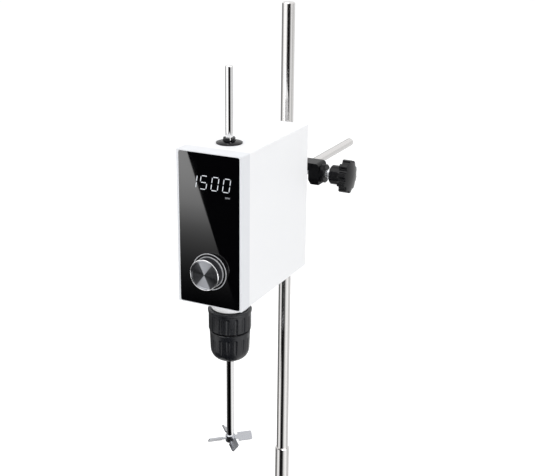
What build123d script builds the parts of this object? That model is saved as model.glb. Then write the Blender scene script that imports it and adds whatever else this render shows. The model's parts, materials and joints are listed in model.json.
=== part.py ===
from build123d import *
from math import acos, cos, pi, radians, sin, sqrt, tan
import os

# Overhead laboratory stirrer on a plate stand, in millimetres, +Z up.
# Origin: on the floor, at the middle of the whole footprint, with the support rod at X = 0.
# The stirrer head looks towards -Y.

# ---------------------------------------------------------------- clearances
fit = 0.05                 # radial clearance of running and sliding fits
seat = 0.02                # clearance where a rod lies against a vee or a pad
seam = 0.25                # gap round pieces that drop into a pocket
air = 0.4                  # gap between pieces that turn past each other

# ---------------------------------------------------------------- stand
plate_width = 200
plate_depth = 340
plate_thickness = 12
plate_corner = 14
plate_edge = 1.5
plate_rear_margin = 45     # rod axis to the plate's rear edge
foot_radius = 14
foot_height = 8
foot_inset = 24
foot_draft = 1.5
foot_screw_radius = 2
foot_screw_head = 4.2
foot_screw_head_height = 2.4
foot_screw_recess = 4.5    # depth of the pocket that hides the head
foot_screw_grip = 8        # length held by the plate
foot_screw_run_out = 1     # the hole is this much deeper than the screw
rod_radius = 7.5
rod_length = 680
rod_chamfer = 1.2
socket_radius = 9
socket_height = 108
socket_flange_radius = 24
socket_flange_height = 7
socket_edge = 0.8
rod_bolt_radius = 4
rod_bolt_grip = 24         # length inside the rod
rod_bolt_head = 6.5
rod_bolt_head_height = 5
rod_bolt_key = 3           # half the width across the key's flats
rod_bolt_key_depth = 3

# ---------------------------------------------------------------- boss head
clamp_height = 505         # height of the mounting bar's axis above the floor
bar_spacing = 19           # rod axis to bar axis
boss_half_depth = 11
boss_bridge_depth = 16     # rod axis to the rear of the bridge behind the rod
boss_top = 13
boss_bottom = 12.2
boss_arm = 13.5            # thickness of the arm that carries a clamp screw
boss_throat = 9.5          # free space between a rod and its arm
boss_throat_margin = 1.5   # free space between a rod and the closed side
boss_lead_in = 5.2         # height of the throat's slanted mouth
boss_lead_out = 3.2
boss_corner = 5
boss_edge = 1
vee_half_angle = 60
stub_radius = 10.9
stub_length = 5
clamp_screw_radius = 4
clamp_gap = 7              # stub end to knob, which is also more than the travel
clamp_collar_radius = 6.5
clamp_collar_length = 4
clamp_collar_edge = 0.5
clamp_screw_engage = 12    # length held inside the knob
pad_radius = 5
pad_thickness = 3
knob_hub_radius = 11.3
knob_hub_length = 14
star_radius = 19.5
star_thickness = 12
star_dome = 2.6
star_lobes = 10
star_valley_radius = 3.6
star_valley_centre = 19.9
star_lobe_edge = 1.1
star_edge = 1

# ---------------------------------------------------------------- stirrer head
head_width = 75
head_depth = 159
head_height = 165
head_gap = 63              # housing back to the support rod's axis
bar_height = 92            # bar axis above the housing's underside
bar_radius = 5
bar_tail = 153             # rod axis to the bar's rear end
bar_chamfer = 0.8
wall = 2.5
frame_depth = 17
frame_edge = 0.8
frame_lip = 5              # width of the ledge behind the panel
frame_ledge = 2.5
cover_depth = 12
cover_corner = 3
long_edge = 1.2            # rounding of the edges that run front to back
split_height = 37.4        # seam between lower and upper housing
panel_width = 69.6
panel_height = 162.4
panel_lift = 1.1           # housing underside to the panel's lower edge
panel_thickness = 2
panel_corner = 2
bumper_radius = 4
bumper_height = 3
bumper_x = 27
bumper_y = 20              # in from the housing's back
cover_screw_radius = 1.5
cover_screw_head = 2.8
cover_screw_head_height = 1.8
cover_screw_length = 9

# ---------------------------------------------------------------- spindle and chuck
spindle_inset = 43.8       # housing front to the spindle's axis
stir_radius = 4
stir_above = 245           # rod end above the housing's underside
stir_below = 181           # rod end below the housing's underside
stir_tip = 1.5
spindle_radius = 8
spindle_top = 148
spindle_engage = 11        # length inside the chuck body
guide_radius = 6.3
guide_rise = 6             # height of the guide above the housing
guide_slot_width = 2.4
guide_slot_depth = 5
guide_fingers = 4
cap_radius = 13.8
cap_rise = 2.6
cap_spigot_radius = 10
cap_lip = 1
nose_radius = 20
nose_height = 17
nose_edge = 1
nose_bore = 12
bearing_radius = 13
bearing_flange_radius = 15.5
bearing_flange = 2
bearing_length = 12
bearing_boss = 4           # wall round a bearing
gear_module = 1
gear_teeth = 60
pinion_teeth = 20
gear_width = 8
pinion_width = 10
gear_hub_radius = 13
gear_hub_height = 6
gear_web = 3
gear_rim = 3.5
gear_window_radius = 5
gear_windows = 6
pressure_angle = 20
gear_root = 1.25           # tooth depth below the pitch circle, in modules
gear_tip = 0.95            # tooth height above the pitch circle, in modules
backlash = 0.04

sleeve_gap = 2             # groove between the two chuck sleeves
rear_sleeve_radius = 23.1
rear_sleeve_rim = 23.8
rear_sleeve_height = 23.5
rear_rim_height = 3
front_sleeve_radius = 22.1
front_sleeve_foot = 21.2
front_sleeve_height = 33
front_sleeve_straight = 21
front_sleeve_mouth = 11.6
sleeve_wall = 2.6
sleeve_edge = 0.8
flute_count = 16
flute_radius = 3
flute_depth = 1.3
flute_rim = 4.5            # plain band above each row of flutes
chuck_shoulder = 1.5       # plate that closes the rear sleeve's top
chuck_body_radius = 16
chuck_nose_radius = 7.6
chuck_nose_out = 2.6       # body standing out of the front sleeve
ring_nut_height = 9
ring_nut_drop = 3          # below the front sleeve's top
jaw_count = 3
jaw_radius = 3.2
jaw_angle = 17
jaw_length = 34
jaw_tip_offset = 3.6       # jaw axis to spindle axis at the jaw's tip

# ---------------------------------------------------------------- impeller
blade_count = 4
blade_reach = 25
blade_length = 16
blade_width = 10
blade_neck = 5
blade_thickness = 1.5
blade_pitch = 45
blade_phase = 42           # bearing of the first blade from +X
blade_shoulder = 1.5
hub_radius = 5.4
hub_height = 9
hub_edge = 0.8

# ---------------------------------------------------------------- controls
knob_height = 38.5         # knob axis above the housing's underside
knob_radius = 16.25
knob_reach = 12          # face of the knob in front of the panel
knob_gap = 0.9             # knob to panel, more than its push
knob_skirt_radius = 16.8
knob_skirt = 1.3
knob_face = 2
knob_face_edge = 0.9
knob_face_dish = 0.5
knob_bore_depth = 7.5
knob_flutes = 56
knob_flute_radius = 0.6
knob_flute_depth = 0.25
ring_outer = 19.8
ring_inner = 19
ring_rise = 0.5
encoder_size = 14
encoder_depth = 7
encoder_wall = 1
encoder_bush_radius = 4.5
encoder_shaft_radius = 3
plunger_radius = 4.6
plunger_thickness = 1.4
display_width = 56
display_height = 24
display_lift = 120         # lower edge above the housing's underside
display_board_width = 66
display_post_radius = 1.8
display_post_inset = 1.5
display_board_height = 40
board_thickness = 1.6
display_depth = 7

# ---------------------------------------------------------------- drive and supply
chassis_half_width = 30
chassis_floor = 6
chassis_plate = 6
chassis_post_inset = 118   # housing front to the rear post
chassis_front_inset = 22
gear_plate_height = 98     # underside of the gear plate above the housing's underside
bar_boss_radius = 10
bar_boss_depth = 22
motor_radius = 20
motor_height = 62
motor_edge = 1.5
motor_cap_height = 10
motor_pilot_radius = 11
motor_wall = 1.5
motor_shaft_radius = 2.5
magnet_radius = 14
magnet_height = 36
board_height = 66
board_inset = 66           # housing front to the boards
part_height = 5            # height of the parts above their board
standoff_radius = 4
standoff_x = 23
standoff_low = 10          # lower cover screws above the housing's underside
standoff_high = 82
inlet_width = 27
inlet_height = 20
inlet_flange_width = 48
inlet_flange_height = 24
inlet_flange = 2.5
inlet_depth = 18
inlet_wall = 1.6
inlet_corner = 3
inlet_lift = 28            # inlet's middle above the housing's underside
pin_width = 4
pin_thickness = 2
pin_spacing = 7
pin_drop = 2.5
pin_recess = 5
switch_width = 21
switch_height = 15
switch_flange = 2
switch_margin = 2
switch_depth = 14
switch_wall = 1.6
switch_lift = 58
rocker_reach = 8           # pivot to the rocker's face
rocker_half_height = 4.8
rocker_dish = 0.8
rocker_tilt = 7
rocker_pin_radius = 1.5
rocker_pin_length = 1
rocker_pivot_depth = 6

# ---------------------------------------------------------------- derived places
star_sphere = (star_radius**2 + star_dome**2) / (2 * star_dome)
star_middle_drop = star_sphere - sqrt(star_sphere**2 - star_radius**2 / 4)
plate_bottom = foot_height
plate_top = plate_bottom + plate_thickness
rod_y = (plate_depth - plate_rear_margin - bar_tail) / 2
plate_y = rod_y + plate_rear_margin - plate_depth / 2
rod_top = plate_top + rod_length
head_x = bar_spacing
head_back = rod_y - head_gap
head_front = head_back - head_depth
head_bottom = clamp_height - bar_height
head_top = head_bottom + head_height
spindle_y = head_front + spindle_inset
shell_front = head_front + frame_depth
shell_back = head_back - cover_depth
knob_z = head_bottom + knob_height
gear_radius = gear_module * gear_teeth / 2
pinion_radius = gear_module * pinion_teeth / 2
motor_y = spindle_y + gear_radius + pinion_radius
spindle_bore = stir_radius + fit
floor_bottom = head_bottom + wall
floor_top = floor_bottom + chassis_floor
gear_plate_bottom = head_bottom + gear_plate_height
gear_plate_top = gear_plate_bottom + chassis_plate
post_front = head_front + chassis_post_inset
post_back = post_front + chassis_plate


# ---------------------------------------------------------------- helpers
def upright(x, y):
    """Plane through a vertical axis: local x is the radius, local y the height."""
    return Plane(origin=(x, y, 0), x_dir=(1, 0, 0), z_dir=(0, -1, 0))


def facing_front(y):
    """Plane of constant y seen from the front: local x is X, local y is Z, normal is -Y."""
    return Plane(origin=(0, y, 0), x_dir=(1, 0, 0), z_dir=(0, -1, 0))


def facing_side(x):
    """Plane of constant x: local x is Y, local y is Z, normal is +X."""
    return Plane(origin=(x, 0, 0), x_dir=(0, 1, 0), z_dir=(1, 0, 0))


def outline(*points):
    """Straight-sided face in the current sketch."""
    Polygon(*points, align=None)


def box_outline(low_x, high_x, low_y, high_y):
    """Axis-parallel rectangle in the current sketch, given by its limits."""
    outline((low_x, low_y), (high_x, low_y), (high_x, high_y), (low_x, high_y))


def vertical_axis(x, y):
    return Axis((x, y, 0), (0, 0, 1))


def finish(piece, name):
    """Label a finished piece and write it."""
    piece.part.label = name
    export_step(piece.part, f"parts/{name}.step")


os.makedirs("parts", exist_ok=True)
spindle_axis = vertical_axis(head_x, spindle_y)
spindle_plane = upright(head_x, spindle_y)
foot_places = [
    (side * (plate_width / 2 - foot_inset), plate_y + end * (plate_depth / 2 - foot_inset))
    for side in (-1, 1)
    for end in (-1, 1)
]

# ================================================================ stand
with BuildPart() as base_plate:
    with BuildSketch(Plane.XY.offset(plate_bottom)):
        with Locations((0, plate_y)):
            RectangleRounded(plate_width, plate_depth, plate_corner)
    extrude(amount=plate_thickness)
    chamfer(base_plate.edges().group_by(Axis.Z)[-1], plate_edge)
    with BuildSketch(Plane.XY.offset(plate_bottom)):
        with Locations(*foot_places):
            Circle(foot_screw_radius + seat)
    extrude(amount=foot_screw_grip + foot_screw_run_out, mode=Mode.SUBTRACT)
    with BuildSketch(Plane.XY.offset(plate_bottom)):
        with Locations((0, rod_y)):
            Circle(rod_bolt_radius + fit)
    extrude(amount=plate_thickness, mode=Mode.SUBTRACT)
    with BuildSketch(Plane.XY.offset(plate_bottom)):
        with Locations((0, rod_y)):
            Circle(rod_bolt_head + seam)
    extrude(amount=rod_bolt_head_height, mode=Mode.SUBTRACT)
finish(base_plate, "base_plate")

for number, (foot_x, foot_y) in enumerate(foot_places, 1):
    with BuildPart() as base_foot:
        with BuildSketch(upright(foot_x, foot_y)):
            outline(
                (foot_screw_radius + seat, foot_screw_recess),
                (foot_screw_head + seam, foot_screw_recess),
                (foot_screw_head + seam, 0),
                (foot_radius - foot_draft, 0),
                (foot_radius, foot_height),
                (foot_screw_radius + seat, foot_height),
            )
        revolve(axis=vertical_axis(foot_x, foot_y))
    finish(base_foot, f"base_foot_{number}")

with BuildPart() as foot_screws:
    with BuildSketch(Plane.XY.offset(foot_screw_recess)):
        with Locations(*foot_places):
            Circle(foot_screw_head)
    extrude(amount=-foot_screw_head_height)
    with BuildSketch(Plane.XY.offset(foot_screw_recess)):
        with Locations(*foot_places):
            Circle(foot_screw_radius)
    extrude(amount=foot_height - foot_screw_recess + foot_screw_grip)
finish(foot_screws, "foot_screws")

with BuildPart() as support_rod:
    with BuildSketch(upright(0, rod_y)):
        outline(
            (0, plate_top + rod_bolt_grip),
            (rod_bolt_radius + seat, plate_top + rod_bolt_grip),
            (rod_bolt_radius + seat, plate_top),
            (rod_radius, plate_top),
            (rod_radius, rod_top - rod_chamfer),
            (rod_radius - rod_chamfer, rod_top),
            (0, rod_top),
        )
    revolve(axis=vertical_axis(0, rod_y))
finish(support_rod, "support_rod")

with BuildPart() as rod_socket:
    with BuildSketch(upright(0, rod_y)):
        outline(
            (rod_radius + seat, plate_top),
            (socket_flange_radius, plate_top),
            (socket_flange_radius, plate_top + socket_flange_height / 2),
            (socket_radius + socket_flange_height / 2, plate_top + socket_flange_height),
            (socket_radius, plate_top + socket_flange_height * 1.5),
            (socket_radius, plate_top + socket_height - socket_edge),
            (socket_radius - socket_edge / 2, plate_top + socket_height),
            (rod_radius + seat, plate_top + socket_height),
        )
    revolve(axis=vertical_axis(0, rod_y))
finish(rod_socket, "rod_socket")

with BuildPart() as rod_bolt:
    with BuildSketch(Plane.XY.offset(plate_bottom)):
        with Locations((0, rod_y)):
            Circle(rod_bolt_head)
    extrude(amount=rod_bolt_head_height)
    with BuildSketch(Plane.XY.offset(plate_bottom)):
        with Locations((0, rod_y)):
            Circle(rod_bolt_radius)
    extrude(amount=plate_thickness + rod_bolt_grip)
    with BuildSketch(Plane.XY.offset(plate_bottom)):
        with Locations((0, rod_y)):
            RegularPolygon(rod_bolt_key, 6, major_radius=False)
    extrude(amount=rod_bolt_key_depth, mode=Mode.SUBTRACT)
finish(rod_bolt, "rod_bolt")

# ================================================================ boss head
# Two C-shaped jaws at right angles. Each rod lies in a vee on the web between them and is
# pressed there by a screw in the outer arm.
bar_x = bar_spacing
boss_low = clamp_height - boss_bottom
boss_high = clamp_height + boss_top
rod_vee = (rod_radius + seat) / sin(radians(vee_half_angle))
bar_vee = (bar_radius + seat) / sin(radians(vee_half_angle))
rod_throat_half = rod_radius + boss_throat_margin
bar_throat_half = bar_radius + boss_throat_margin
rod_vee_mouth = rod_vee - rod_throat_half / tan(radians(vee_half_angle))
bar_vee_mouth = bar_vee - bar_throat_half / tan(radians(vee_half_angle))
web_x = (rod_vee + bar_x - bar_vee) / 2
rod_arm_face = rod_radius + boss_throat
bar_arm_face = bar_radius + boss_throat
rod_arm_end = rod_arm_face + boss_arm
bar_arm_end = bar_arm_face + boss_arm

with BuildPart() as boss_head:
    with BuildSketch(facing_front(rod_y - boss_half_depth)) as bar_jaw:
        outline(
            (web_x, boss_low),
            (bar_x - bar_vee_mouth, boss_low),
            (bar_x - bar_vee_mouth, clamp_height - bar_throat_half),
            (bar_x - bar_vee, clamp_height),
            (bar_x - bar_vee_mouth, clamp_height + bar_throat_half),
            (bar_x + bar_arm_face, clamp_height + bar_throat_half),
            (bar_x + bar_arm_face, boss_low + boss_lead_in),
            (bar_x + bar_arm_face + boss_lead_out, boss_low),
            (bar_x + bar_arm_end, boss_low),
            (bar_x + bar_arm_end, boss_high),
            (web_x, boss_high),
        )
        fillet(bar_jaw.vertices().group_by(Axis.X)[-1].sort_by(Axis.Y)[-1], boss_corner)
    extrude(amount=-2 * boss_half_depth)
    with BuildSketch(Plane.XY.offset(boss_low)):
        with Locations((0, rod_y)):
            outline(
                (web_x, -boss_half_depth),
                (rod_vee_mouth, -boss_half_depth),
                (rod_vee_mouth, -rod_throat_half),
                (rod_vee, 0),
                (rod_vee_mouth, rod_throat_half),
                (-rod_arm_face, rod_throat_half),
                (-rod_arm_face, -boss_half_depth),
                (-rod_arm_end, -boss_half_depth),
                (-rod_arm_end, boss_bridge_depth),
                (web_x, boss_bridge_depth),
            )
    extrude(amount=boss_top + boss_bottom)
    fillet(
        boss_head.edges().filter_by(Axis.Y).group_by(Axis.X)[0],
        boss_edge * 2,
    )
    with BuildSketch(facing_side(bar_x + bar_arm_end)):
        with Locations((rod_y, clamp_height)):
            Circle(stub_radius)
    extrude(amount=stub_length)
    with BuildSketch(facing_side(-rod_arm_end)):
        with Locations((rod_y, clamp_height)):
            Circle(stub_radius)
    extrude(amount=-stub_length)
    with BuildSketch(facing_side(bar_x + bar_arm_end + stub_length)):
        with Locations((rod_y, clamp_height)):
            Circle(clamp_screw_radius + fit)
    extrude(amount=-(boss_arm + stub_length), mode=Mode.SUBTRACT)
    with BuildSketch(facing_side(-rod_arm_end - stub_length)):
        with Locations((rod_y, clamp_height)):
            Circle(clamp_screw_radius + fit)
    extrude(amount=boss_arm + stub_length, mode=Mode.SUBTRACT)
    chamfer(boss_head.edges().filter_by(GeomType.CIRCLE).group_by(Axis.X)[0], boss_edge / 2)
    chamfer(boss_head.edges().filter_by(GeomType.CIRCLE).group_by(Axis.X)[-1], boss_edge / 2)
finish(boss_head, "boss_head")

# Each clamp: a pressure pad that does not turn, a screw with a collar, and a star knob on it.
for name, held_x, side, held_radius, arm_end in (
    ("rod_clamp", 0, -1, rod_radius, rod_arm_end),
    ("bar_clamp", bar_x, 1, bar_radius, bar_arm_end),
):
    along = Plane(origin=(held_x, rod_y, clamp_height), x_dir=(side, 0, 0), z_dir=(0, -side, 0))
    screw_axis = Axis((held_x, rod_y, clamp_height), (side, 0, 0))
    pad_face = held_radius + seat
    screw_tip = pad_face + pad_thickness + seat
    knob_start = arm_end + stub_length + clamp_gap
    star_start = knob_start + knob_hub_length
    star_end = star_start + star_thickness

    with BuildPart() as clamp_pad:
        with BuildSketch(along):
            box_outline(pad_face, pad_face + pad_thickness, 0, pad_radius)
        revolve(axis=screw_axis)
        chamfer(clamp_pad.edges(), clamp_collar_edge)
    finish(clamp_pad, f"{name}_pad")

    with BuildPart() as clamp_screw:
        with BuildSketch(along):
            box_outline(screw_tip, knob_start + clamp_screw_engage, 0, clamp_screw_radius)
            box_outline(knob_start - clamp_collar_length, knob_start, 0, clamp_collar_radius)
        revolve(axis=screw_axis)
        chamfer(
            clamp_screw.edges().filter_by(GeomType.CIRCLE).group_by(SortBy.RADIUS)[-1],
            clamp_collar_edge,
        )
    finish(clamp_screw, f"{name}_screw")

    with BuildPart() as clamp_knob:
        with BuildSketch(along):
            box_outline(knob_start, star_start + star_thickness / 2, 0, knob_hub_radius)
        revolve(axis=screw_axis)
        chamfer(clamp_knob.edges().sort_by(screw_axis)[0], star_edge)
        star_plane = Plane(
            origin=(held_x + side * star_start, rod_y, clamp_height),
            x_dir=(0, side, 0),
            z_dir=(side, 0, 0),
        )
        with BuildSketch(star_plane) as star:
            Circle(star_radius)
            with PolarLocations(star_valley_centre, star_lobes):
                Circle(star_valley_radius, mode=Mode.SUBTRACT)
            fillet(star.vertices(), star_lobe_edge)
        extrude(amount=star_thickness)
        with BuildSketch(along):
            with BuildLine():
                Polyline(
                    (star_end, 0),
                    (knob_start, 0),
                    (knob_start, star_radius),
                    (star_end - star_dome, star_radius),
                )
                ThreePointArc(
                    (star_end - star_dome, star_radius),
                    (star_end - star_middle_drop, star_radius / 2),
                    (star_end, 0),
                )
            make_face()
        revolve(axis=screw_axis, mode=Mode.INTERSECT)
        with BuildSketch(star_plane.offset(-knob_hub_length)):
            Circle(clamp_screw_radius + seat)
        extrude(amount=clamp_screw_engage, mode=Mode.SUBTRACT)
    finish(clamp_knob, f"{name}_knob")

# ================================================================ housing of the stirrer head
left = head_x - head_width / 2
right = head_x + head_width / 2
split_z = head_bottom + split_height
panel_z = head_bottom + panel_lift + panel_height / 2
panel_back = head_front + panel_thickness
ledge_back = panel_back + frame_ledge
board_front = panel_back + display_depth
display_z = head_bottom + display_lift + display_height / 2
head_middle = (head_x, head_bottom + head_height / 2)
display_posts = [
    (
        head_x + side * (display_board_width / 2 - display_post_inset),
        display_z + end * (display_board_height / 2 - display_post_inset),
    )
    for side in (-1, 1)
    for end in (-1, 1)
]

with BuildPart() as front_frame:
    with BuildSketch(facing_front(head_front)):
        with Locations(head_middle):
            RectangleRounded(head_width, head_height, long_edge)
    extrude(amount=-frame_depth)
    fillet(front_frame.edges().group_by(Axis.Y)[0], frame_edge)
    with BuildSketch(facing_front(ledge_back)):
        with Locations(head_middle):
            Rectangle(head_width - 2 * wall, head_height - 2 * wall)
    extrude(amount=-frame_depth, mode=Mode.SUBTRACT)
    with BuildSketch(facing_front(head_front)):
        with Locations((head_x, panel_z)):
            RectangleRounded(panel_width, panel_height, panel_corner)
    extrude(amount=-panel_thickness, mode=Mode.SUBTRACT)
    with BuildSketch(facing_front(head_front)):
        with Locations((head_x, panel_z)):
            RectangleRounded(
                panel_width - 2 * frame_lip, panel_height - 2 * frame_lip, panel_corner
            )
    extrude(amount=-(panel_thickness + frame_ledge), mode=Mode.SUBTRACT)
    with BuildSketch(facing_front(ledge_back)):
        with Locations(*display_posts):
            Circle(display_post_radius)
    extrude(amount=-(board_front - ledge_back))
finish(front_frame, "front_frame")

with BuildPart() as front_panel:
    with BuildSketch(facing_front(head_front)):
        with Locations((head_x, panel_z)):
            RectangleRounded(
                panel_width - 2 * seam, panel_height - 2 * seam, panel_corner - seam
            )
        with Locations((head_x, knob_z)):
            Circle(encoder_bush_radius + seam, mode=Mode.SUBTRACT)
    extrude(amount=-panel_thickness)
finish(front_panel, "front_panel")

with BuildPart() as upper_housing:
    with BuildSketch(facing_front(shell_front)) as shell:
        box_outline(left, right, split_z, head_top)
        fillet(shell.vertices().group_by(Axis.Y)[-1], long_edge)
    extrude(amount=-(shell_back - shell_front))
    with BuildSketch(facing_front(shell_front)):
        box_outline(left + wall, right - wall, split_z, head_top - wall)
    extrude(amount=-(shell_back - shell_front), mode=Mode.SUBTRACT)
    with BuildSketch(Plane.XY.offset(head_top - wall)):
        with Locations((head_x, spindle_y)):
            Circle(cap_spigot_radius + seam)
    extrude(amount=wall, mode=Mode.SUBTRACT)
finish(upper_housing, "upper_housing")

with BuildPart() as lower_housing:
    with BuildSketch(facing_front(shell_front)) as tray:
        box_outline(left, right, head_bottom, split_z)
        fillet(tray.vertices().group_by(Axis.Y)[0], long_edge)
    extrude(amount=-(shell_back - shell_front))
    with BuildSketch(facing_front(shell_front)):
        box_outline(left + wall, right - wall, floor_bottom, split_z)
    extrude(amount=-(shell_back - shell_front), mode=Mode.SUBTRACT)
    with BuildSketch(Plane.XY.offset(head_bottom)):
        with Locations((head_x, spindle_y)):
            Circle(nose_bore)
    extrude(amount=wall, mode=Mode.SUBTRACT)
finish(lower_housing, "lower_housing")

with BuildPart() as nose_boss:
    with BuildSketch(Plane.XY.offset(head_bottom)):
        with Locations((head_x, spindle_y)):
            Circle(nose_radius)
            Circle(nose_bore, mode=Mode.SUBTRACT)
    extrude(amount=-nose_height)
    chamfer(nose_boss.edges().group_by(Axis.Z)[0], nose_edge)
finish(nose_boss, "nose_boss")

with BuildPart() as underside_bumpers:
    with BuildSketch(Plane.XY.offset(head_bottom)):
        with Locations(
            (head_x - bumper_x, head_back - bumper_y), (head_x + bumper_x, head_back - bumper_y)
        ):
            Circle(bumper_radius)
    extrude(amount=-bumper_height)
    chamfer(underside_bumpers.edges().group_by(Axis.Z)[0], bumper_height / 4)
finish(underside_bumpers, "underside_bumpers")

cover_screw_places = [
    (head_x + side * standoff_x, head_bottom + height)
    for side in (-1, 1)
    for height in (standoff_low, standoff_high)
]
cover_inside = head_back - wall
inlet_z = head_bottom + inlet_lift
switch_z = head_bottom + switch_lift

with BuildPart() as rear_cover:
    with BuildSketch(Plane.XY.offset(head_bottom)) as cover_plan:
        box_outline(left, right, shell_back, head_back)
        fillet(cover_plan.vertices().group_by(Axis.Y)[-1], cover_corner)
    extrude(amount=head_height)
    fillet(
        rear_cover.edges().group_by(Axis.Z)[-1].filter_by_position(
            Axis.Y, shell_back, head_back, inclusive=(False, True)
        ),
        long_edge,
    )
    fillet(
        rear_cover.edges().group_by(Axis.Z)[0].filter_by_position(
            Axis.Y, shell_back, head_back, inclusive=(False, True)
        ),
        long_edge,
    )
    with BuildSketch(Plane.XY.offset(floor_bottom)) as cover_hollow:
        box_outline(left + wall, right - wall, shell_back, cover_inside)
        fillet(cover_hollow.vertices().group_by(Axis.Y)[-1], cover_corner - wall)
    extrude(amount=head_height - 2 * wall, mode=Mode.SUBTRACT)
    with BuildSketch(facing_front(cover_inside)):
        with Locations((head_x, clamp_height)):
            Circle(bar_radius + fit)
        with Locations(*cover_screw_places):
            Circle(cover_screw_radius + fit)
        with Locations((head_x, inlet_z)):
            Rectangle(inlet_width + 2 * fit, inlet_height + 2 * fit)
        with Locations((head_x, switch_z)):
            Rectangle(switch_width + 2 * fit, switch_height + 2 * fit)
    extrude(amount=-wall, mode=Mode.SUBTRACT)
finish(rear_cover, "rear_cover")

with BuildPart() as cover_screws:
    with BuildSketch(facing_front(head_back)):
        with Locations(*cover_screw_places):
            Circle(cover_screw_head)
    extrude(amount=-cover_screw_head_height)
    fillet(cover_screws.edges().group_by(Axis.Y)[-1], cover_screw_head_height / 2)
    with BuildSketch(facing_front(head_back)):
        with Locations(*cover_screw_places):
            Circle(cover_screw_radius)
    extrude(amount=cover_screw_length)
finish(cover_screws, "cover_screws")

# ================================================================ chassis and drive
with BuildPart() as chassis:
    with BuildSketch(Plane.XY.offset(floor_bottom)):
        box_outline(
            head_x - chassis_half_width,
            head_x + chassis_half_width,
            head_front + chassis_front_inset,
            post_back,
        )
    extrude(amount=chassis_floor)
    with BuildSketch(Plane.XY.offset(floor_bottom)):
        box_outline(
            head_x - chassis_half_width, head_x + chassis_half_width, post_front, post_back
        )
    extrude(amount=gear_plate_top - floor_bottom)
    with BuildSketch(Plane.XY.offset(gear_plate_bottom)):
        box_outline(
            head_x - chassis_half_width,
            head_x + chassis_half_width,
            head_front + chassis_front_inset,
            post_back,
        )
    extrude(amount=chassis_plate)
    with BuildSketch(Plane.XY.offset(floor_bottom)):
        with Locations((head_x, spindle_y)):
            Circle(bearing_radius + bearing_boss)
    extrude(amount=bearing_length)
    with BuildSketch(Plane.XY.offset(gear_plate_top)):
        with Locations((head_x, spindle_y)):
            Circle(bearing_radius + bearing_boss)
    extrude(amount=-bearing_length)
    with BuildSketch(Plane.XY.offset(floor_bottom)):
        with Locations((head_x, spindle_y)):
            Circle(bearing_radius)
    extrude(amount=gear_plate_top - floor_bottom, mode=Mode.SUBTRACT)
    with BuildSketch(Plane.XY.offset(gear_plate_bottom)):
        with Locations((head_x, motor_y)):
            Circle(motor_pilot_radius)
    extrude(amount=chassis_plate, mode=Mode.SUBTRACT)
    with BuildSketch(facing_front(post_back)):
        with Locations((head_x, clamp_height)):
            Circle(bar_boss_radius)
    extrude(amount=-bar_boss_depth)
    with BuildSketch(facing_front(post_back)):
        with Locations(*cover_screw_places):
            Circle(standoff_radius)
    extrude(amount=-(cover_inside - post_back))
    with BuildSketch(facing_front(post_front)):
        with Locations((head_x, clamp_height)):
            Circle(bar_radius + seat)
    extrude(amount=-(chassis_plate + bar_boss_depth), mode=Mode.SUBTRACT)
    with BuildSketch(facing_front(cover_inside)):
        with Locations(*cover_screw_places):
            Circle(cover_screw_radius + seat)
    extrude(amount=cover_screw_length, mode=Mode.SUBTRACT)
finish(chassis, "chassis")

bar_end = rod_y + bar_tail
with BuildPart() as mounting_bar:
    with BuildSketch(facing_front(post_front)):
        with Locations((head_x, clamp_height)):
            Circle(bar_radius)
    extrude(amount=-(bar_end - post_front))
    chamfer(mounting_bar.edges().group_by(Axis.Y)[-1], bar_chamfer)
finish(mounting_bar, "mounting_bar")

motor_top = gear_plate_bottom
motor_bottom = motor_top - motor_height
motor_axis = vertical_axis(head_x, motor_y)
gear_low = gear_plate_top + bearing_flange + air
pinion_low = gear_low - (pinion_width - gear_width) / 2
magnet_low = motor_bottom + (motor_height - magnet_height) / 2

with BuildPart() as motor_can:
    with BuildSketch(upright(head_x, motor_y)):
        outline(
            (motor_shaft_radius + motor_wall, motor_top),
            (motor_pilot_radius - fit, motor_top),
            (motor_radius, motor_top),
            (motor_radius, motor_bottom),
            (motor_radius - motor_wall, motor_bottom),
            (motor_radius - motor_wall, motor_top - motor_wall),
            (motor_shaft_radius + motor_wall, motor_top - motor_wall),
        )
        box_outline(
            motor_shaft_radius + fit,
            motor_pilot_radius - fit,
            motor_top - motor_wall,
            motor_top + motor_wall,
        )
    revolve(axis=motor_axis)
finish(motor_can, "motor_can")

with BuildPart() as motor_cap:
    with BuildSketch(upright(head_x, motor_y)):
        outline(
            (motor_shaft_radius + fit, motor_bottom - motor_cap_height / 2),
            (motor_radius - motor_edge, motor_bottom - motor_cap_height / 2),
            (motor_radius, motor_bottom - motor_cap_height / 2 + motor_edge),
            (motor_radius, motor_bottom),
            (motor_radius - motor_wall - fit, motor_bottom),
            (motor_radius - motor_wall - fit, motor_bottom + motor_cap_height / 2),
            (motor_radius - 2 * motor_wall, motor_bottom + motor_cap_height / 2),
            (motor_radius - 2 * motor_wall, motor_bottom),
            (motor_shaft_radius + fit, motor_bottom),
        )
    revolve(axis=motor_axis)
finish(motor_cap, "motor_cap")

with BuildPart() as motor_rotor:
    with BuildSketch(upright(head_x, motor_y)):
        box_outline(
            0, motor_shaft_radius, motor_bottom - motor_cap_height / 2, pinion_low + pinion_width
        )
        box_outline(0, magnet_radius, magnet_low, magnet_low + magnet_height)
    revolve(axis=motor_axis)
finish(motor_rotor, "motor_rotor")


def involute_angle(radius, base):
    """Polar angle in radians that an involute has turned through at a radius."""
    return sqrt((radius / base) ** 2 - 1) - acos(base / radius)


def tooth_half_angle(radius, teeth):
    """Half the angle that a tooth covers at a radius, thinned by the backlash."""
    pitch = gear_module * teeth / 2
    base = pitch * cos(radians(pressure_angle))
    at_pitch = pi / (2 * teeth) - backlash / pitch
    return at_pitch + involute_angle(pitch, base) - involute_angle(max(radius, base), base)


def gear_point(radius, angle):
    return (radius * cos(angle), radius * sin(angle))


def mirrored(points):
    return [(x, -y) for x, y in reversed(points)]


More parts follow.
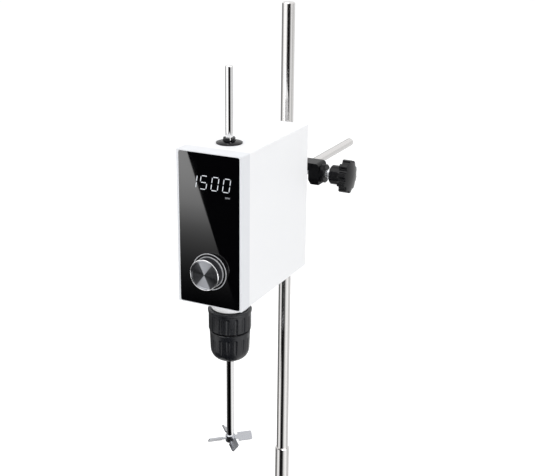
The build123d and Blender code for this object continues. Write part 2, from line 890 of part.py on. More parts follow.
def gear_outline(teeth):
    """Toothed disc about the origin, each flank an arc through the true involute."""
    pitch = gear_module * teeth / 2
    root = pitch - gear_root * gear_module
    tip = pitch + gear_tip * gear_module
    foot = max(root, pitch * cos(radians(pressure_angle)))
    stations = (foot, (foot + tip) / 2, tip)
    flank = [gear_point(radius, tooth_half_angle(radius, teeth)) for radius in stations]
    heel = [gear_point(root - gear_module / 2, tooth_half_angle(foot, teeth)), flank[0]]
    with BuildSketch() as disc:
        with BuildLine():
            Polyline(*heel)
            ThreePointArc(*flank)
            Line(flank[-1], mirrored(flank)[0])
            ThreePointArc(*mirrored(flank))
            Polyline(*mirrored(heel), heel[0])
        make_face()
        tooth = disc.sketch
        with PolarLocations(0, teeth - 1, start_angle=360 / teeth, angular_range=360 - 360 / teeth):
            add(tooth)
        Circle(root)
    return disc.sketch


drive_gear_outline = gear_outline(gear_teeth)
pinion_outline = gear_outline(pinion_teeth)
pinion_phase = 180 / pinion_teeth

with BuildPart() as drive_gear:
    with BuildSketch(Plane.XY.offset(gear_low)):
        with Locations((head_x, spindle_y)):
            add(drive_gear_outline)
    extrude(amount=gear_width)
    with BuildSketch(spindle_plane):
        for low, high in (
            (gear_low, gear_low + (gear_width - gear_web) / 2),
            (gear_low + (gear_width + gear_web) / 2, gear_low + gear_width),
        ):
            box_outline(
                gear_hub_radius, gear_radius - gear_root * gear_module - gear_rim, low, high
            )
    revolve(axis=spindle_axis, mode=Mode.SUBTRACT)
    with BuildSketch(Plane.XY.offset(gear_low)):
        with Locations((head_x, spindle_y)):
            with PolarLocations((gear_hub_radius + gear_radius - gear_rim) / 2, gear_windows):
                Circle(gear_window_radius)
    extrude(amount=gear_width, mode=Mode.SUBTRACT)
    with BuildSketch(Plane.XY.offset(gear_low)):
        with Locations((head_x, spindle_y)):
            Circle(gear_hub_radius)
    extrude(amount=gear_width + gear_hub_height)
    with BuildSketch(Plane.XY.offset(gear_low)):
        with Locations((head_x, spindle_y)):
            Circle(spindle_radius)
    extrude(amount=gear_width + gear_hub_height, mode=Mode.SUBTRACT)
finish(drive_gear, "drive_gear")

with BuildPart() as motor_pinion:
    with BuildSketch(Plane.XY.offset(pinion_low)):
        with Locations(Location((head_x, motor_y), pinion_phase)):
            add(pinion_outline)
        with Locations((head_x, motor_y)):
            Circle(motor_shaft_radius, mode=Mode.SUBTRACT)
    extrude(amount=pinion_width)
finish(motor_pinion, "motor_pinion")

for name, flange_low in (
    ("lower_bearing", floor_bottom + bearing_length),
    ("upper_bearing", gear_plate_top),
):
    with BuildPart() as bearing:
        with BuildSketch(Plane.XY.offset(flange_low)):
            with Locations((head_x, spindle_y)):
                Circle(bearing_flange_radius)
        extrude(amount=bearing_flange)
        with BuildSketch(Plane.XY.offset(flange_low)):
            with Locations((head_x, spindle_y)):
                Circle(bearing_radius)
        extrude(amount=-bearing_length)
        with BuildSketch(Plane.XY.offset(flange_low + bearing_flange)):
            with Locations((head_x, spindle_y)):
                Circle(spindle_radius + fit)
        extrude(amount=-(bearing_length + bearing_flange), mode=Mode.SUBTRACT)
    finish(bearing, name)

# ================================================================ spindle and top guide
chuck_top = head_bottom - nose_height - air
chuck_body_top = chuck_top - chuck_shoulder
spindle_bottom = chuck_body_top - spindle_engage
rear_sleeve_bottom = chuck_top - rear_sleeve_height
front_sleeve_top = rear_sleeve_bottom - sleeve_gap
front_sleeve_bottom = front_sleeve_top - front_sleeve_height
chuck_bottom = front_sleeve_bottom - chuck_nose_out
spindle_top_z = head_bottom + spindle_top

with BuildPart() as spindle_tube:
    with BuildSketch(Plane.XY.offset(spindle_bottom)):
        with Locations((head_x, spindle_y)):
            Circle(spindle_radius)
            Circle(spindle_bore, mode=Mode.SUBTRACT)
    extrude(amount=spindle_top_z - spindle_bottom)
finish(spindle_tube, "spindle_tube")

with BuildPart() as top_guide:
    with BuildSketch(Plane.XY.offset(spindle_top_z)):
        with Locations((head_x, spindle_y)):
            Circle(guide_radius)
            Circle(spindle_bore, mode=Mode.SUBTRACT)
    extrude(amount=head_top + guide_rise - spindle_top_z)
    with BuildSketch(Plane.XY.offset(head_top + guide_rise)):
        with Locations((head_x, spindle_y)):
            with PolarLocations(0, guide_fingers, start_angle=180 / guide_fingers):
                box_outline(0, guide_radius, -guide_slot_width / 2, guide_slot_width / 2)
    extrude(amount=-guide_slot_depth, mode=Mode.SUBTRACT)
finish(top_guide, "top_guide")

with BuildPart() as top_cap:
    with BuildSketch(spindle_plane):
        with BuildLine():
            Polyline(
                (cap_radius, head_top),
                (cap_spigot_radius, head_top),
                (cap_spigot_radius, head_top - wall),
                (guide_radius + air, head_top - wall),
                (guide_radius + air, head_top + cap_rise),
            )
            ThreePointArc(
                (guide_radius + air, head_top + cap_rise),
                ((guide_radius + air + cap_radius) / 2, head_top + cap_rise * 0.8),
                (cap_radius, head_top + cap_lip),
            )
            Line((cap_radius, head_top + cap_lip), (cap_radius, head_top))
        make_face()
    revolve(axis=spindle_axis)
finish(top_cap, "top_cap")

# ================================================================ chuck
jaw_slope = tan(radians(jaw_angle))
jaw_reach = jaw_radius / cos(radians(jaw_angle))
nut_top = front_sleeve_top - ring_nut_drop
nut_bottom = nut_top - ring_nut_height
pocket_radius = front_sleeve_radius - sleeve_wall
body_clear = chuck_body_radius + air
nut_mouth = jaw_tip_offset + (nut_top - chuck_bottom) * jaw_slope + jaw_reach + air
taper_top = front_sleeve_bottom + front_sleeve_mouth


def jaw_plane(bearing_angle):
    """Plane square to a jaw's axis at the chuck's nose, with its normal up along the jaw."""
    turn = radians(bearing_angle)
    lean = radians(jaw_angle)
    return Plane(
        origin=(
            head_x + jaw_tip_offset * cos(turn),
            spindle_y + jaw_tip_offset * sin(turn),
            chuck_bottom,
        ),
        x_dir=(-sin(turn), cos(turn), 0),
        z_dir=(cos(turn) * sin(lean), sin(turn) * sin(lean), cos(lean)),
    )


jaw_bearings = [90 + index * 360 / jaw_count for index in range(jaw_count)]
jaw_bore_length = (rear_sleeve_bottom - sleeve_gap / 2 - chuck_bottom) / cos(radians(jaw_angle))


def flute_cutters(radius, low, high):
    """Cut the flutes round a sleeve, each with a rounded top."""
    axis_radius = radius + flute_radius - flute_depth
    with PolarLocations(axis_radius, flute_count):
        with Locations((0, 0, (low + high) / 2)):
            Cylinder(flute_radius, high - low, mode=Mode.SUBTRACT)
        with Locations((0, 0, high)):
            Sphere(flute_radius, mode=Mode.SUBTRACT)


with BuildPart() as chuck_rear_sleeve:
    with BuildSketch(spindle_plane):
        outline(
            (spindle_radius + fit, chuck_top),
            (rear_sleeve_rim - sleeve_edge, chuck_top),
            (rear_sleeve_rim, chuck_top - sleeve_edge),
            (rear_sleeve_rim, chuck_top - rear_rim_height),
            (rear_sleeve_radius, chuck_top - rear_rim_height - sleeve_edge),
            (rear_sleeve_radius, rear_sleeve_bottom + sleeve_edge),
            (rear_sleeve_radius - sleeve_edge, rear_sleeve_bottom),
            (chuck_body_radius, rear_sleeve_bottom),
            (chuck_body_radius, chuck_body_top),
            (spindle_radius + fit, chuck_body_top),
        )
    revolve(axis=spindle_axis)
    with Locations((head_x, spindle_y, 0)):
        flute_cutters(
            rear_sleeve_radius, rear_sleeve_bottom, chuck_top - flute_rim - flute_radius
        )
finish(chuck_rear_sleeve, "chuck_rear_sleeve")

with BuildPart() as chuck_body:
    with BuildSketch(spindle_plane):
        outline(
            (stir_radius + air, chuck_bottom),
            (chuck_nose_radius, chuck_bottom),
            (front_sleeve_mouth - 2 * air, front_sleeve_bottom + air),
            (chuck_body_radius, taper_top),
            (chuck_body_radius, chuck_body_top),
            (spindle_radius, chuck_body_top),
            (spindle_radius, spindle_bottom),
            (stir_radius + air, spindle_bottom),
        )
    revolve(axis=spindle_axis)
    for bearing_angle in jaw_bearings:
        with BuildSketch(jaw_plane(bearing_angle)):
            Circle(jaw_radius + fit)
        extrude(amount=jaw_bore_length, mode=Mode.SUBTRACT)
        with BuildSketch(jaw_plane(bearing_angle)):
            Circle(jaw_radius + fit)
        extrude(amount=-chuck_nose_radius, mode=Mode.SUBTRACT)
finish(chuck_body, "chuck_body")

with BuildPart() as chuck_front_sleeve:
    with BuildSketch(spindle_plane):
        with BuildLine():
            Polyline(
                (front_sleeve_mouth - air, front_sleeve_bottom),
                (body_clear, taper_top),
                (body_clear, nut_bottom),
                (pocket_radius, nut_bottom),
                (pocket_radius, front_sleeve_top),
                (front_sleeve_radius - sleeve_edge, front_sleeve_top),
                (front_sleeve_radius, front_sleeve_top - sleeve_edge),
                (front_sleeve_foot, front_sleeve_top - front_sleeve_straight),
            )
            Spline(
                (front_sleeve_foot, front_sleeve_top - front_sleeve_straight),
                (
                    (front_sleeve_foot * 2 + front_sleeve_mouth) / 3,
                    front_sleeve_bottom + front_sleeve_mouth / 3,
                ),
                (front_sleeve_mouth + sleeve_edge, front_sleeve_bottom),
            )
            Line(
                (front_sleeve_mouth + sleeve_edge, front_sleeve_bottom),
                (front_sleeve_mouth - air, front_sleeve_bottom),
            )
        make_face()
    revolve(axis=spindle_axis)
    with Locations((head_x, spindle_y, 0)):
        flute_cutters(
            front_sleeve_radius,
            front_sleeve_bottom,
            front_sleeve_top - flute_rim - flute_radius,
        )
finish(chuck_front_sleeve, "chuck_front_sleeve")

with BuildPart() as chuck_ring_nut:
    with BuildSketch(spindle_plane):
        outline(
            (body_clear, nut_bottom),
            (pocket_radius, nut_bottom),
            (pocket_radius, nut_top),
            (nut_mouth, nut_top),
            (body_clear, nut_top - (nut_mouth - body_clear) / jaw_slope),
        )
    revolve(axis=spindle_axis)
finish(chuck_ring_nut, "chuck_ring_nut")

for number, bearing_angle in enumerate(jaw_bearings, 1):
    with BuildPart() as chuck_jaw:
        with BuildSketch(jaw_plane(bearing_angle)):
            Circle(jaw_radius)
        extrude(amount=jaw_length)
        with BuildSketch(Plane.XY.offset(chuck_bottom - jaw_radius)):
            with Locations((head_x, spindle_y)):
                Circle(stir_radius + seat)
        extrude(amount=jaw_length, mode=Mode.SUBTRACT)
    finish(chuck_jaw, f"chuck_jaw_{number}")

# ================================================================ stirring rod and impeller
stir_bottom = head_bottom - stir_below
stir_top = head_bottom + stir_above
blade_z = stir_bottom + hub_height / 2

with BuildPart() as stirring_rod:
    with BuildSketch(Plane.XY.offset(stir_bottom)):
        with Locations((head_x, spindle_y)):
            Circle(stir_radius)
    extrude(amount=stir_top - stir_bottom)
    fillet(stirring_rod.edges().group_by(Axis.Z)[-1], stir_tip)
finish(stirring_rod, "stirring_rod")

with BuildPart() as impeller:
    with BuildSketch(Plane.XY.offset(stir_bottom)):
        with Locations((head_x, spindle_y)):
            Circle(hub_radius)
    extrude(amount=hub_height)
    chamfer(impeller.edges(), hub_edge)
    for index in range(blade_count):
        turn = radians(blade_phase + index * 360 / blade_count)
        lean = radians(blade_pitch)
        blade_plane = Plane(
            origin=(head_x, spindle_y, blade_z),
            x_dir=(cos(turn), sin(turn), 0),
            z_dir=(sin(turn) * sin(lean), -cos(turn) * sin(lean), cos(lean)),
        )
        with BuildSketch(blade_plane) as blade:
            box_outline(0, blade_reach, -blade_neck / 2, blade_neck / 2)
            box_outline(blade_reach - blade_length, blade_reach, -blade_width / 2, blade_width / 2)
            fillet(blade.vertices().group_by(Axis.X)[-1], blade_shoulder)
        extrude(amount=blade_thickness / 2, both=True)
    with BuildSketch(Plane.XY.offset(stir_bottom)):
        with Locations((head_x, spindle_y)):
            Circle(stir_radius)
    extrude(amount=hub_height, mode=Mode.SUBTRACT)
finish(impeller, "impeller")

# ================================================================ controls on the front
front_plane = Plane(origin=(head_x, head_front, knob_z), x_dir=(0, -1, 0), z_dir=(-1, 0, 0))
knob_axis = Axis((head_x, head_front, knob_z), (0, -1, 0))
plunger_front = panel_thickness + encoder_wall + 2 * air
shaft_front = knob_gap + knob_bore_depth
cap_back = knob_reach - knob_face

with BuildPart() as panel_ring:
    with BuildSketch(front_plane):
        box_outline(0, ring_rise, ring_inner, ring_outer)
    revolve(axis=knob_axis)
finish(panel_ring, "panel_ring")

with BuildPart() as encoder_body:
    with BuildSketch(facing_front(panel_back)):
        with Locations((head_x, knob_z)):
            Rectangle(encoder_size, encoder_size)
    extrude(amount=-encoder_depth)
    with BuildSketch(front_plane):
        outline(
            (0, 0),
            (0, encoder_bush_radius),
            (-panel_thickness - encoder_wall, encoder_bush_radius),
            (-panel_thickness - encoder_wall, 0),
        )
    revolve(axis=knob_axis)
    with BuildSketch(facing_front(head_front)):
        with Locations((head_x, knob_z)):
            Circle(encoder_shaft_radius + fit)
    extrude(amount=-(panel_thickness + encoder_depth / 2), mode=Mode.SUBTRACT)
    with BuildSketch(facing_front(panel_back + encoder_wall)):
        with Locations((head_x, knob_z)):
            Circle(plunger_radius + fit)
    extrude(amount=-(encoder_depth - 2 * encoder_wall), mode=Mode.SUBTRACT)
finish(encoder_body, "encoder_body")

with BuildPart() as encoder_plunger:
    with BuildSketch(facing_front(head_front + plunger_front)):
        with Locations((head_x, knob_z)):
            Circle(plunger_radius)
    extrude(amount=-plunger_thickness)
finish(encoder_plunger, "encoder_plunger")

with BuildPart() as encoder_shaft:
    with BuildSketch(facing_front(head_front + plunger_front - seat)):
        with Locations((head_x, knob_z)):
            Circle(encoder_shaft_radius)
    extrude(amount=plunger_front - seat + shaft_front)
finish(encoder_shaft, "encoder_shaft")

with BuildPart() as speed_knob:
    with BuildSketch(front_plane):
        outline(
            (knob_gap + knob_skirt, encoder_shaft_radius),
            (knob_gap + knob_skirt, knob_radius),
            (cap_back, knob_radius),
            (cap_back, 0),
            (shaft_front, 0),
            (shaft_front, encoder_shaft_radius),
        )
    revolve(axis=knob_axis)
    with BuildSketch(facing_front(head_front - cap_back)):
        with Locations((head_x, knob_z)):
            with PolarLocations(
                knob_radius + knob_flute_radius - knob_flute_depth, knob_flutes
            ):
                Circle(knob_flute_radius)
    extrude(amount=-(cap_back - knob_gap - knob_skirt), mode=Mode.SUBTRACT)
finish(speed_knob, "speed_knob")

with BuildPart() as knob_skirt_ring:
    with BuildSketch(front_plane):
        box_outline(knob_gap, knob_gap + knob_skirt, encoder_shaft_radius, knob_skirt_radius)
    revolve(axis=knob_axis)
finish(knob_skirt_ring, "knob_skirt_ring")

with BuildPart() as knob_cap:
    with BuildSketch(front_plane):
        outline(
            (cap_back, 0),
            (cap_back, knob_radius),
            (knob_reach - knob_face_edge, knob_radius),
            (knob_reach, knob_radius - knob_face_edge),
            (knob_reach, knob_radius - 2 * knob_face_edge),
            (knob_reach - knob_face_dish, knob_radius - 2 * knob_face_edge - knob_face_dish),
            (knob_reach - knob_face_dish, 0),
        )
    revolve(axis=knob_axis)
finish(knob_cap, "knob_cap")

with BuildPart() as display_module:
    with BuildSketch(facing_front(panel_back)):
        with Locations((head_x, display_z)):
            Rectangle(display_width, display_height)
    extrude(amount=-display_depth)
finish(display_module, "display_module")

with BuildPart() as display_board:
    with BuildSketch(facing_front(board_front)):
        with Locations((head_x, display_z)):
            Rectangle(display_board_width, display_board_height)
    extrude(amount=-board_thickness)
finish(display_board, "display_board")

# ================================================================ electronics beside the motor
# Each board is (side of the head, its parts as (distance in from its front edge, lift above its
# foot, length, height)).
board_front_edge = head_front + board_inset
for name, side, board_parts in (
    ("control_board", 1, ((8, 12, 10, 10), (8, 40, 14, 14), (30, 20, 8, 16))),
    ("power_board", -1, ((6, 10, 18, 22), (6, 40, 12, 18), (30, 12, 10, 12))),
):
    board_face = head_x + side * chassis_half_width
    with BuildPart() as board:
        with BuildSketch(facing_side(board_face)):
            box_outline(
                board_front_edge, post_back, floor_bottom, floor_bottom + board_height
            )
        extrude(amount=side * board_thickness)
        with BuildSketch(facing_side(board_face)):
            for inset, lift, length, height in board_parts:
                box_outline(
                    board_front_edge + inset,
                    board_front_edge + inset + length,
                    floor_top + lift,
                    floor_top + lift + height,
                )
        extrude(amount=-side * part_height)
    finish(board, name)

# ================================================================ power inlet and switch
with BuildPart() as power_inlet:
    with BuildSketch(facing_front(head_back)):
        with Locations((head_x, inlet_z)):
            RectangleRounded(inlet_flange_width, inlet_flange_height, inlet_corner)
    extrude(amount=-inlet_flange)
    with BuildSketch(facing_front(head_back)):
        with Locations((head_x, inlet_z)):
            Rectangle(inlet_width, inlet_height)
    extrude(amount=inlet_depth)
    with BuildSketch(facing_front(head_back + inlet_flange)):
        with Locations((head_x, inlet_z)):
            RectangleRounded(
                inlet_width - 2 * inlet_wall, inlet_height - 2 * inlet_wall, inlet_corner
            )
    extrude(amount=inlet_depth + inlet_flange - inlet_wall, mode=Mode.SUBTRACT)
finish(power_inlet, "power_inlet")

with BuildPart() as inlet_pins:
    with BuildSketch(facing_front(head_back + inlet_flange - pin_recess)):
        with Locations(
            (head_x - pin_spacing, inlet_z - pin_drop),
            (head_x + pin_spacing, inlet_z - pin_drop),
            (head_x, inlet_z + pin_drop),
        ):
            Rectangle(pin_thickness, pin_width)
    extrude(amount=inlet_depth + inlet_flange - inlet_wall - pin_recess)
finish(inlet_pins, "inlet_pins")

rocker_y = head_back + switch_flange - rocker_pivot_depth
rocker_half_width = switch_width / 2 - switch_wall - fit
with BuildPart() as switch_frame:
    with BuildSketch(facing_front(head_back)):
        with Locations((head_x, switch_z)):
            RectangleRounded(
                switch_width + 2 * switch_margin,
                switch_height + 2 * switch_margin,
                switch_margin,
            )
    extrude(amount=-switch_flange)
    with BuildSketch(facing_front(head_back)):
        with Locations((head_x, switch_z)):
            Rectangle(switch_width, switch_height)
    extrude(amount=switch_depth)
    with BuildSketch(facing_front(head_back + switch_flange)):
        with Locations((head_x, switch_z)):
            Rectangle(switch_width - 2 * switch_wall, switch_height - 2 * switch_wall)
    extrude(amount=switch_depth + switch_flange - switch_wall, mode=Mode.SUBTRACT)
    with BuildSketch(facing_side(head_x - rocker_half_width - rocker_pin_length - fit)):
        with Locations((rocker_y, switch_z)):
            Circle(rocker_pin_radius + fit)
    extrude(amount=2 * (rocker_half_width + rocker_pin_length + fit), mode=Mode.SUBTRACT)
finish(switch_frame, "switch_frame")

rocker_rest = radians(rocker_tilt)
rocker_plane = Plane(
    origin=(head_x - rocker_half_width, rocker_y, switch_z),
    x_dir=(0, cos(rocker_rest), sin(rocker_rest)),
    z_dir=(1, 0, 0),
)
with BuildPart() as power_rocker:
    with BuildSketch(rocker_plane):
        outline(
            (-rocker_half_height / 2, -rocker_half_height / 2),
            (0, -rocker_half_height),
            (rocker_reach, -rocker_half_height),
            (rocker_reach - rocker_dish, 0),
            (rocker_reach, rocker_half_height),
            (0, rocker_half_height),
            (-rocker_half_height / 2, rocker_half_height / 2),
        )
    extrude(amount=2 * rocker_half_width)
    with BuildSketch(rocker_plane.offset(-rocker_pin_length)):
        Circle(rocker_pin_radius)
    extrude(amount=2 * (rocker_half_width + rocker_pin_length))
finish(power_rocker, "power_rocker")
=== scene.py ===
"""Overhead stirrer: finishes, fine detail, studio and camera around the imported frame."""

import json
import logging
import math
from dataclasses import dataclass, field
from enum import Enum
from typing import Iterable, Sequence

import bmesh
import bpy
from mathutils import Matrix, Vector


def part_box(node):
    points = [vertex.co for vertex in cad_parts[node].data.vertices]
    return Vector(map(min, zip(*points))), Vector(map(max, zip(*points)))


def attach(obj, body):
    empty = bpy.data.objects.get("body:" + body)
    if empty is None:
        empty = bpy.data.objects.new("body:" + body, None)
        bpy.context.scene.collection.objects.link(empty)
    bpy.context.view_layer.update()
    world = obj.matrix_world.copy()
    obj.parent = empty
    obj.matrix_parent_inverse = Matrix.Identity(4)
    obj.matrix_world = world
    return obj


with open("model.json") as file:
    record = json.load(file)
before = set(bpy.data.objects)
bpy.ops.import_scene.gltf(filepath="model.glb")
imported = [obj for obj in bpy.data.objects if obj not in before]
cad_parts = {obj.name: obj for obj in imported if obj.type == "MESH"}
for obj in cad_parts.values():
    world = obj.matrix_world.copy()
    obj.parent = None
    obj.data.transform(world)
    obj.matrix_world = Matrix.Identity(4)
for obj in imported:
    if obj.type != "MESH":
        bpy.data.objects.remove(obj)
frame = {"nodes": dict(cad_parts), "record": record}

LOG = logging.getLogger("overhead_stirrer")
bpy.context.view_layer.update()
Colour = tuple[float, float, float]
Point = tuple[float, float, float]


class Body(Enum):
    """The bodies that the display and the knob's fine pieces ride on."""

    HEAD = "stirrer_head"
    KNOB = "speed_knob"


class Lay(Enum):
    """The way in which a tool left its lines in a metal surface."""

    DRAWN = "drawn"
    TURNED = "turned"
    CAST = "cast"


class Axis(Enum):
    """A row axis, as an index into a vector."""

    X = 0
    Y = 1
    Z = 2


# ------------------------------------------------------------------ node helpers
class Graph:
    """A node tree with short calls to add and join nodes."""

    def __init__(self, tree: bpy.types.NodeTree) -> None:
        """Keep the tree.

        Args:
            tree: the shader or geometry tree that nodes are added to.
        """
        self.tree = tree

    def add(self, kind: str, **settings: object) -> bpy.types.Node:
        """Add a node.

        Args:
            kind: the node's type name.
            settings: attributes that are set on it.

        Returns:
            The new node.
        """
        node = self.tree.nodes.new(kind)
        for name, value in settings.items():
            setattr(node, name, value)
        return node

    def join(self, source: bpy.types.NodeSocket, target: bpy.types.NodeSocket) -> None:
        """Link an output to an input."""
        self.tree.links.new(source, target)

    def feed(self, node: bpy.types.Node, **values: object) -> bpy.types.Node:
        """Set or link a node's inputs.

        Args:
            node: the node whose inputs are filled.
            values: one value or output socket for each input; underscores stand for spaces.

        Returns:
            The same node.
        """
        for name, value in values.items():
            socket = node.inputs[name.replace("_", " ")]
            if isinstance(value, bpy.types.NodeSocket):
                self.join(value, socket)
            else:
                socket.default_value = value
        return node

    def math(self, operation: str, first: object, second: object = 0.0) -> bpy.types.NodeSocket:
        """Add a Math node.

        Args:
            operation: the node's operation.
            first: number or socket.
            second: number or socket.

        Returns:
            The node's output.
        """
        node = self.add("ShaderNodeMath", operation=operation)
        for socket, value in zip(node.inputs, (first, second)):
            if isinstance(value, bpy.types.NodeSocket):
                self.join(value, socket)
            else:
                socket.default_value = value
        return node.outputs[0]


def new_group(
    name: str, inputs: Sequence[tuple[str, str, object]], outputs: Sequence[str]
) -> tuple[Graph, bpy.types.Node, bpy.types.Node]:
    """Make an empty shader node group with named sockets.

    Args:
        name: the group's name.
        inputs: name, socket type and default of each input.
        outputs: name of each output, all floats.

    Returns:
        The group's graph, its input node and its output node.
    """
    group = bpy.data.node_groups.new(name, "ShaderNodeTree")
    for socket_name, socket_type, default in inputs:
        socket = group.interface.new_socket(socket_name, in_out="INPUT", socket_type=socket_type)
        socket.default_value = default
    for socket_name in outputs:
        group.interface.new_socket(socket_name, in_out="OUTPUT", socket_type="NodeSocketFloat")
    graph = Graph(group)
    return graph, graph.add("NodeGroupInput"), graph.add("NodeGroupOutput")


class Effects:
    """Shader node groups that several finishes share."""

    FLOAT = "NodeSocketFloat"
    VECTOR = ("Vector", "NodeSocketVector", (0.0, 0.0, 0.0))

    def __init__(self) -> None:
        """Build each group once."""
        self.grain = self.build_grain()
        self.handling = self.build_handling()
        self.drawn = self.build_drawn()
        self.turned = self.build_turned()

    def build_grain(self) -> bpy.types.NodeTree:
        """Fine moulded or cast grain, with a broad mottle.

        Returns:
            A group that puts out Height and Mottle.
        """
        graph, start, end = new_group(
            "Surface grain",
            [("Scale", self.FLOAT, 900.0), ("Mottle scale", self.FLOAT, 14.0)],
            ["Height", "Mottle"],
        )
        place = graph.add("ShaderNodeTexCoord").outputs["Object"]
        fine = graph.add("ShaderNodeTexNoise")
        graph.feed(fine, Vector=place, Scale=start.outputs["Scale"], Detail=3.0, Roughness=0.6)
        broad = graph.add("ShaderNodeTexNoise")
        graph.feed(broad, Vector=place, Scale=start.outputs["Mottle scale"])
        graph.feed(broad, Detail=4.0, Roughness=0.55)
        graph.join(fine.outputs["Fac"], end.inputs["Height"])
        graph.join(broad.outputs["Fac"], end.inputs["Mottle"])
        return graph.tree

    def build_handling(self) -> bpy.types.NodeTree:
        """Faint smears and specks that change how a surface shines.

        Returns:
            A group that puts out Roughness.
        """
        graph, start, end = new_group(
            "Handling marks",
            [("Low", self.FLOAT, 0.3), ("High", self.FLOAT, 0.4), ("Scale", self.FLOAT, 22.0)],
            ["Roughness"],
        )
        place = graph.add("ShaderNodeTexCoord").outputs["Object"]
        smear = graph.add("ShaderNodeTexNoise")
        graph.feed(smear, Vector=place, Scale=start.outputs["Scale"], Detail=5.0, Roughness=0.62)
        graph.feed(smear, Distortion=0.6)
        spread = graph.add("ShaderNodeMapRange")
        graph.feed(spread, Value=smear.outputs["Fac"], From_Min=0.3, From_Max=0.7)
        graph.feed(spread, To_Min=start.outputs["Low"], To_Max=start.outputs["High"])
        graph.join(spread.outputs["Result"], end.inputs["Roughness"])
        return graph.tree

    def build_drawn(self) -> bpy.types.NodeTree:
        """Fine lines along or across a piece, from grinding or brushing.

        Returns:
            A group that puts out Height and Streak; Vector is already stretched.
        """
        graph, start, end = new_group(
            "Drawn lines", [self.VECTOR, ("Detail", self.FLOAT, 4.0)], ["Height", "Streak"]
        )
        lines = graph.add("ShaderNodeTexNoise")
        graph.feed(lines, Vector=start.outputs["Vector"], Scale=1.0, Detail=start.outputs["Detail"])
        streak = graph.add("ShaderNodeMapRange")
        graph.feed(streak, Value=lines.outputs["Fac"], From_Min=0.35, From_Max=0.65)
        graph.join(lines.outputs["Fac"], end.inputs["Height"])
        graph.join(streak.outputs["Result"], end.inputs["Streak"])
        return graph.tree

    def build_turned(self) -> bpy.types.NodeTree:
        """Rings round a piece's axis, from turning on a lathe.

        Returns:
            A group that puts out Height; Vector has the axis as its own Z.
        """
        graph, start, end = new_group(
            "Turned rings", [self.VECTOR, ("Scale", self.FLOAT, 900.0)], ["Height"]
        )
        parts = graph.add("ShaderNodeSeparateXYZ")
        graph.join(start.outputs["Vector"], parts.inputs[0])
        across = graph.math("MULTIPLY", parts.outputs[0], parts.outputs[0])
        along = graph.math("MULTIPLY", parts.outputs[1], parts.outputs[1])
        radius = graph.math("SQRT", graph.math("ADD", across, along))
        depth = graph.math("ADD", radius, parts.outputs[2])
        rings = graph.add("ShaderNodeTexNoise", noise_dimensions="1D")
        graph.feed(rings, W=depth, Scale=start.outputs["Scale"], Detail=2.0)
        graph.join(rings.outputs["Fac"], end.inputs["Height"])
        return graph.tree


def blank_material(name: str) -> tuple[bpy.types.Material, Graph]:
    """Make a material whose node tree is empty.

    Args:
        name: the material's name.

    Returns:
        The material and its graph.
    """
    material = bpy.data.materials.new(name)
    material.use_nodes = True
    material.node_tree.nodes.clear()
    return material, Graph(material.node_tree)


# ------------------------------------------------------------------ finishes
@dataclass(frozen=True)
class Finish:
    """What every finish has: a name, a colour and how far it shines."""

    name: str
    colour: Colour
    low_roughness: float
    high_roughness: float

    def start(self, effects: Effects) -> tuple[bpy.types.Material, Graph, bpy.types.Node]:
        """Make the material with its shader and its handling marks.

        Args:
            effects: the shared node groups.

        Returns:
            The material, its graph and its Principled node.
        """
        material = bpy.data.materials.new(self.name)
        material.use_nodes = True
        material.diffuse_color = (*self.colour, 1.0)
        graph = Graph(material.node_tree)
        shader = next(n for n in graph.tree.nodes if n.type == "BSDF_PRINCIPLED")
        marks = graph.add("ShaderNodeGroup", node_tree=effects.handling)
        graph.feed(marks, Low=self.low_roughness, High=self.high_roughness)
        graph.join(marks.outputs["Roughness"], shader.inputs["Roughness"])
        return material, graph, shader

    def tint(self, graph: Graph, shader: bpy.types.Node, mask: object, share: float) -> None:
        """Vary the base colour between the finish's colour and a darker one.

        Args:
            graph: the material's graph.
            shader: its Principled node.
            mask: socket that runs from 0 to 1 over the surface.
            share: how much darker the dark tone is.
        """
        blend = graph.add("ShaderNodeMix", data_type="RGBA")
        graph.join(mask, blend.inputs["Factor"])
        blend.inputs["A"].default_value = (*[c * (1.0 - share) for c in self.colour], 1.0)
        blend.inputs["B"].default_value = (*self.colour, 1.0)
        graph.join(blend.outputs["Result"], shader.inputs["Base Color"])

    def relief(
        self, graph: Graph, shader: bpy.types.Node, height: object, strength: float, depth: float
    ) -> None:
        """Turn a height into bumps on the surface.

        Args:
            graph: the material's graph.
            shader: its Principled node.
            height: socket of the height.
            strength: how much of the bump shows, from 0 to 1.
            depth: the bump's depth in metres.
        """
        bump = graph.add("ShaderNodeBump")
        graph.feed(bump, Height=height, Strength=strength, Distance=depth)
        graph.join(bump.outputs["Normal"], shader.inputs["Normal"])


@dataclass(frozen=True)
class Moulded(Finish):
    """Moulded plastic, rubber, paint or a coated board."""

    grain_scale: float = 1100.0
    grain_depth: float = 0.00004
    mottle: float = 0.02
    coat: float = 0.0
    specular: float = 0.5
    coat_roughness: float = 0.06
    grain_strength: float = 0.35

    def build(self, effects: Effects) -> bpy.types.Material:
        """Build the material.

        Args:
            effects: the shared node groups.

        Returns:
            The finished material.
        """
        material, graph, shader = self.start(effects)
        grain = graph.add("ShaderNodeGroup", node_tree=effects.grain)
        graph.feed(grain, Scale=self.grain_scale)
        self.tint(graph, shader, grain.outputs["Mottle"], self.mottle)
        self.relief(graph, shader, grain.outputs["Height"], self.grain_strength, self.grain_depth)
        shader.inputs["Coat Weight"].default_value = self.coat
        shader.inputs["Coat Roughness"].default_value = self.coat_roughness
        shader.inputs["Specular IOR Level"].default_value = self.specular
        return material


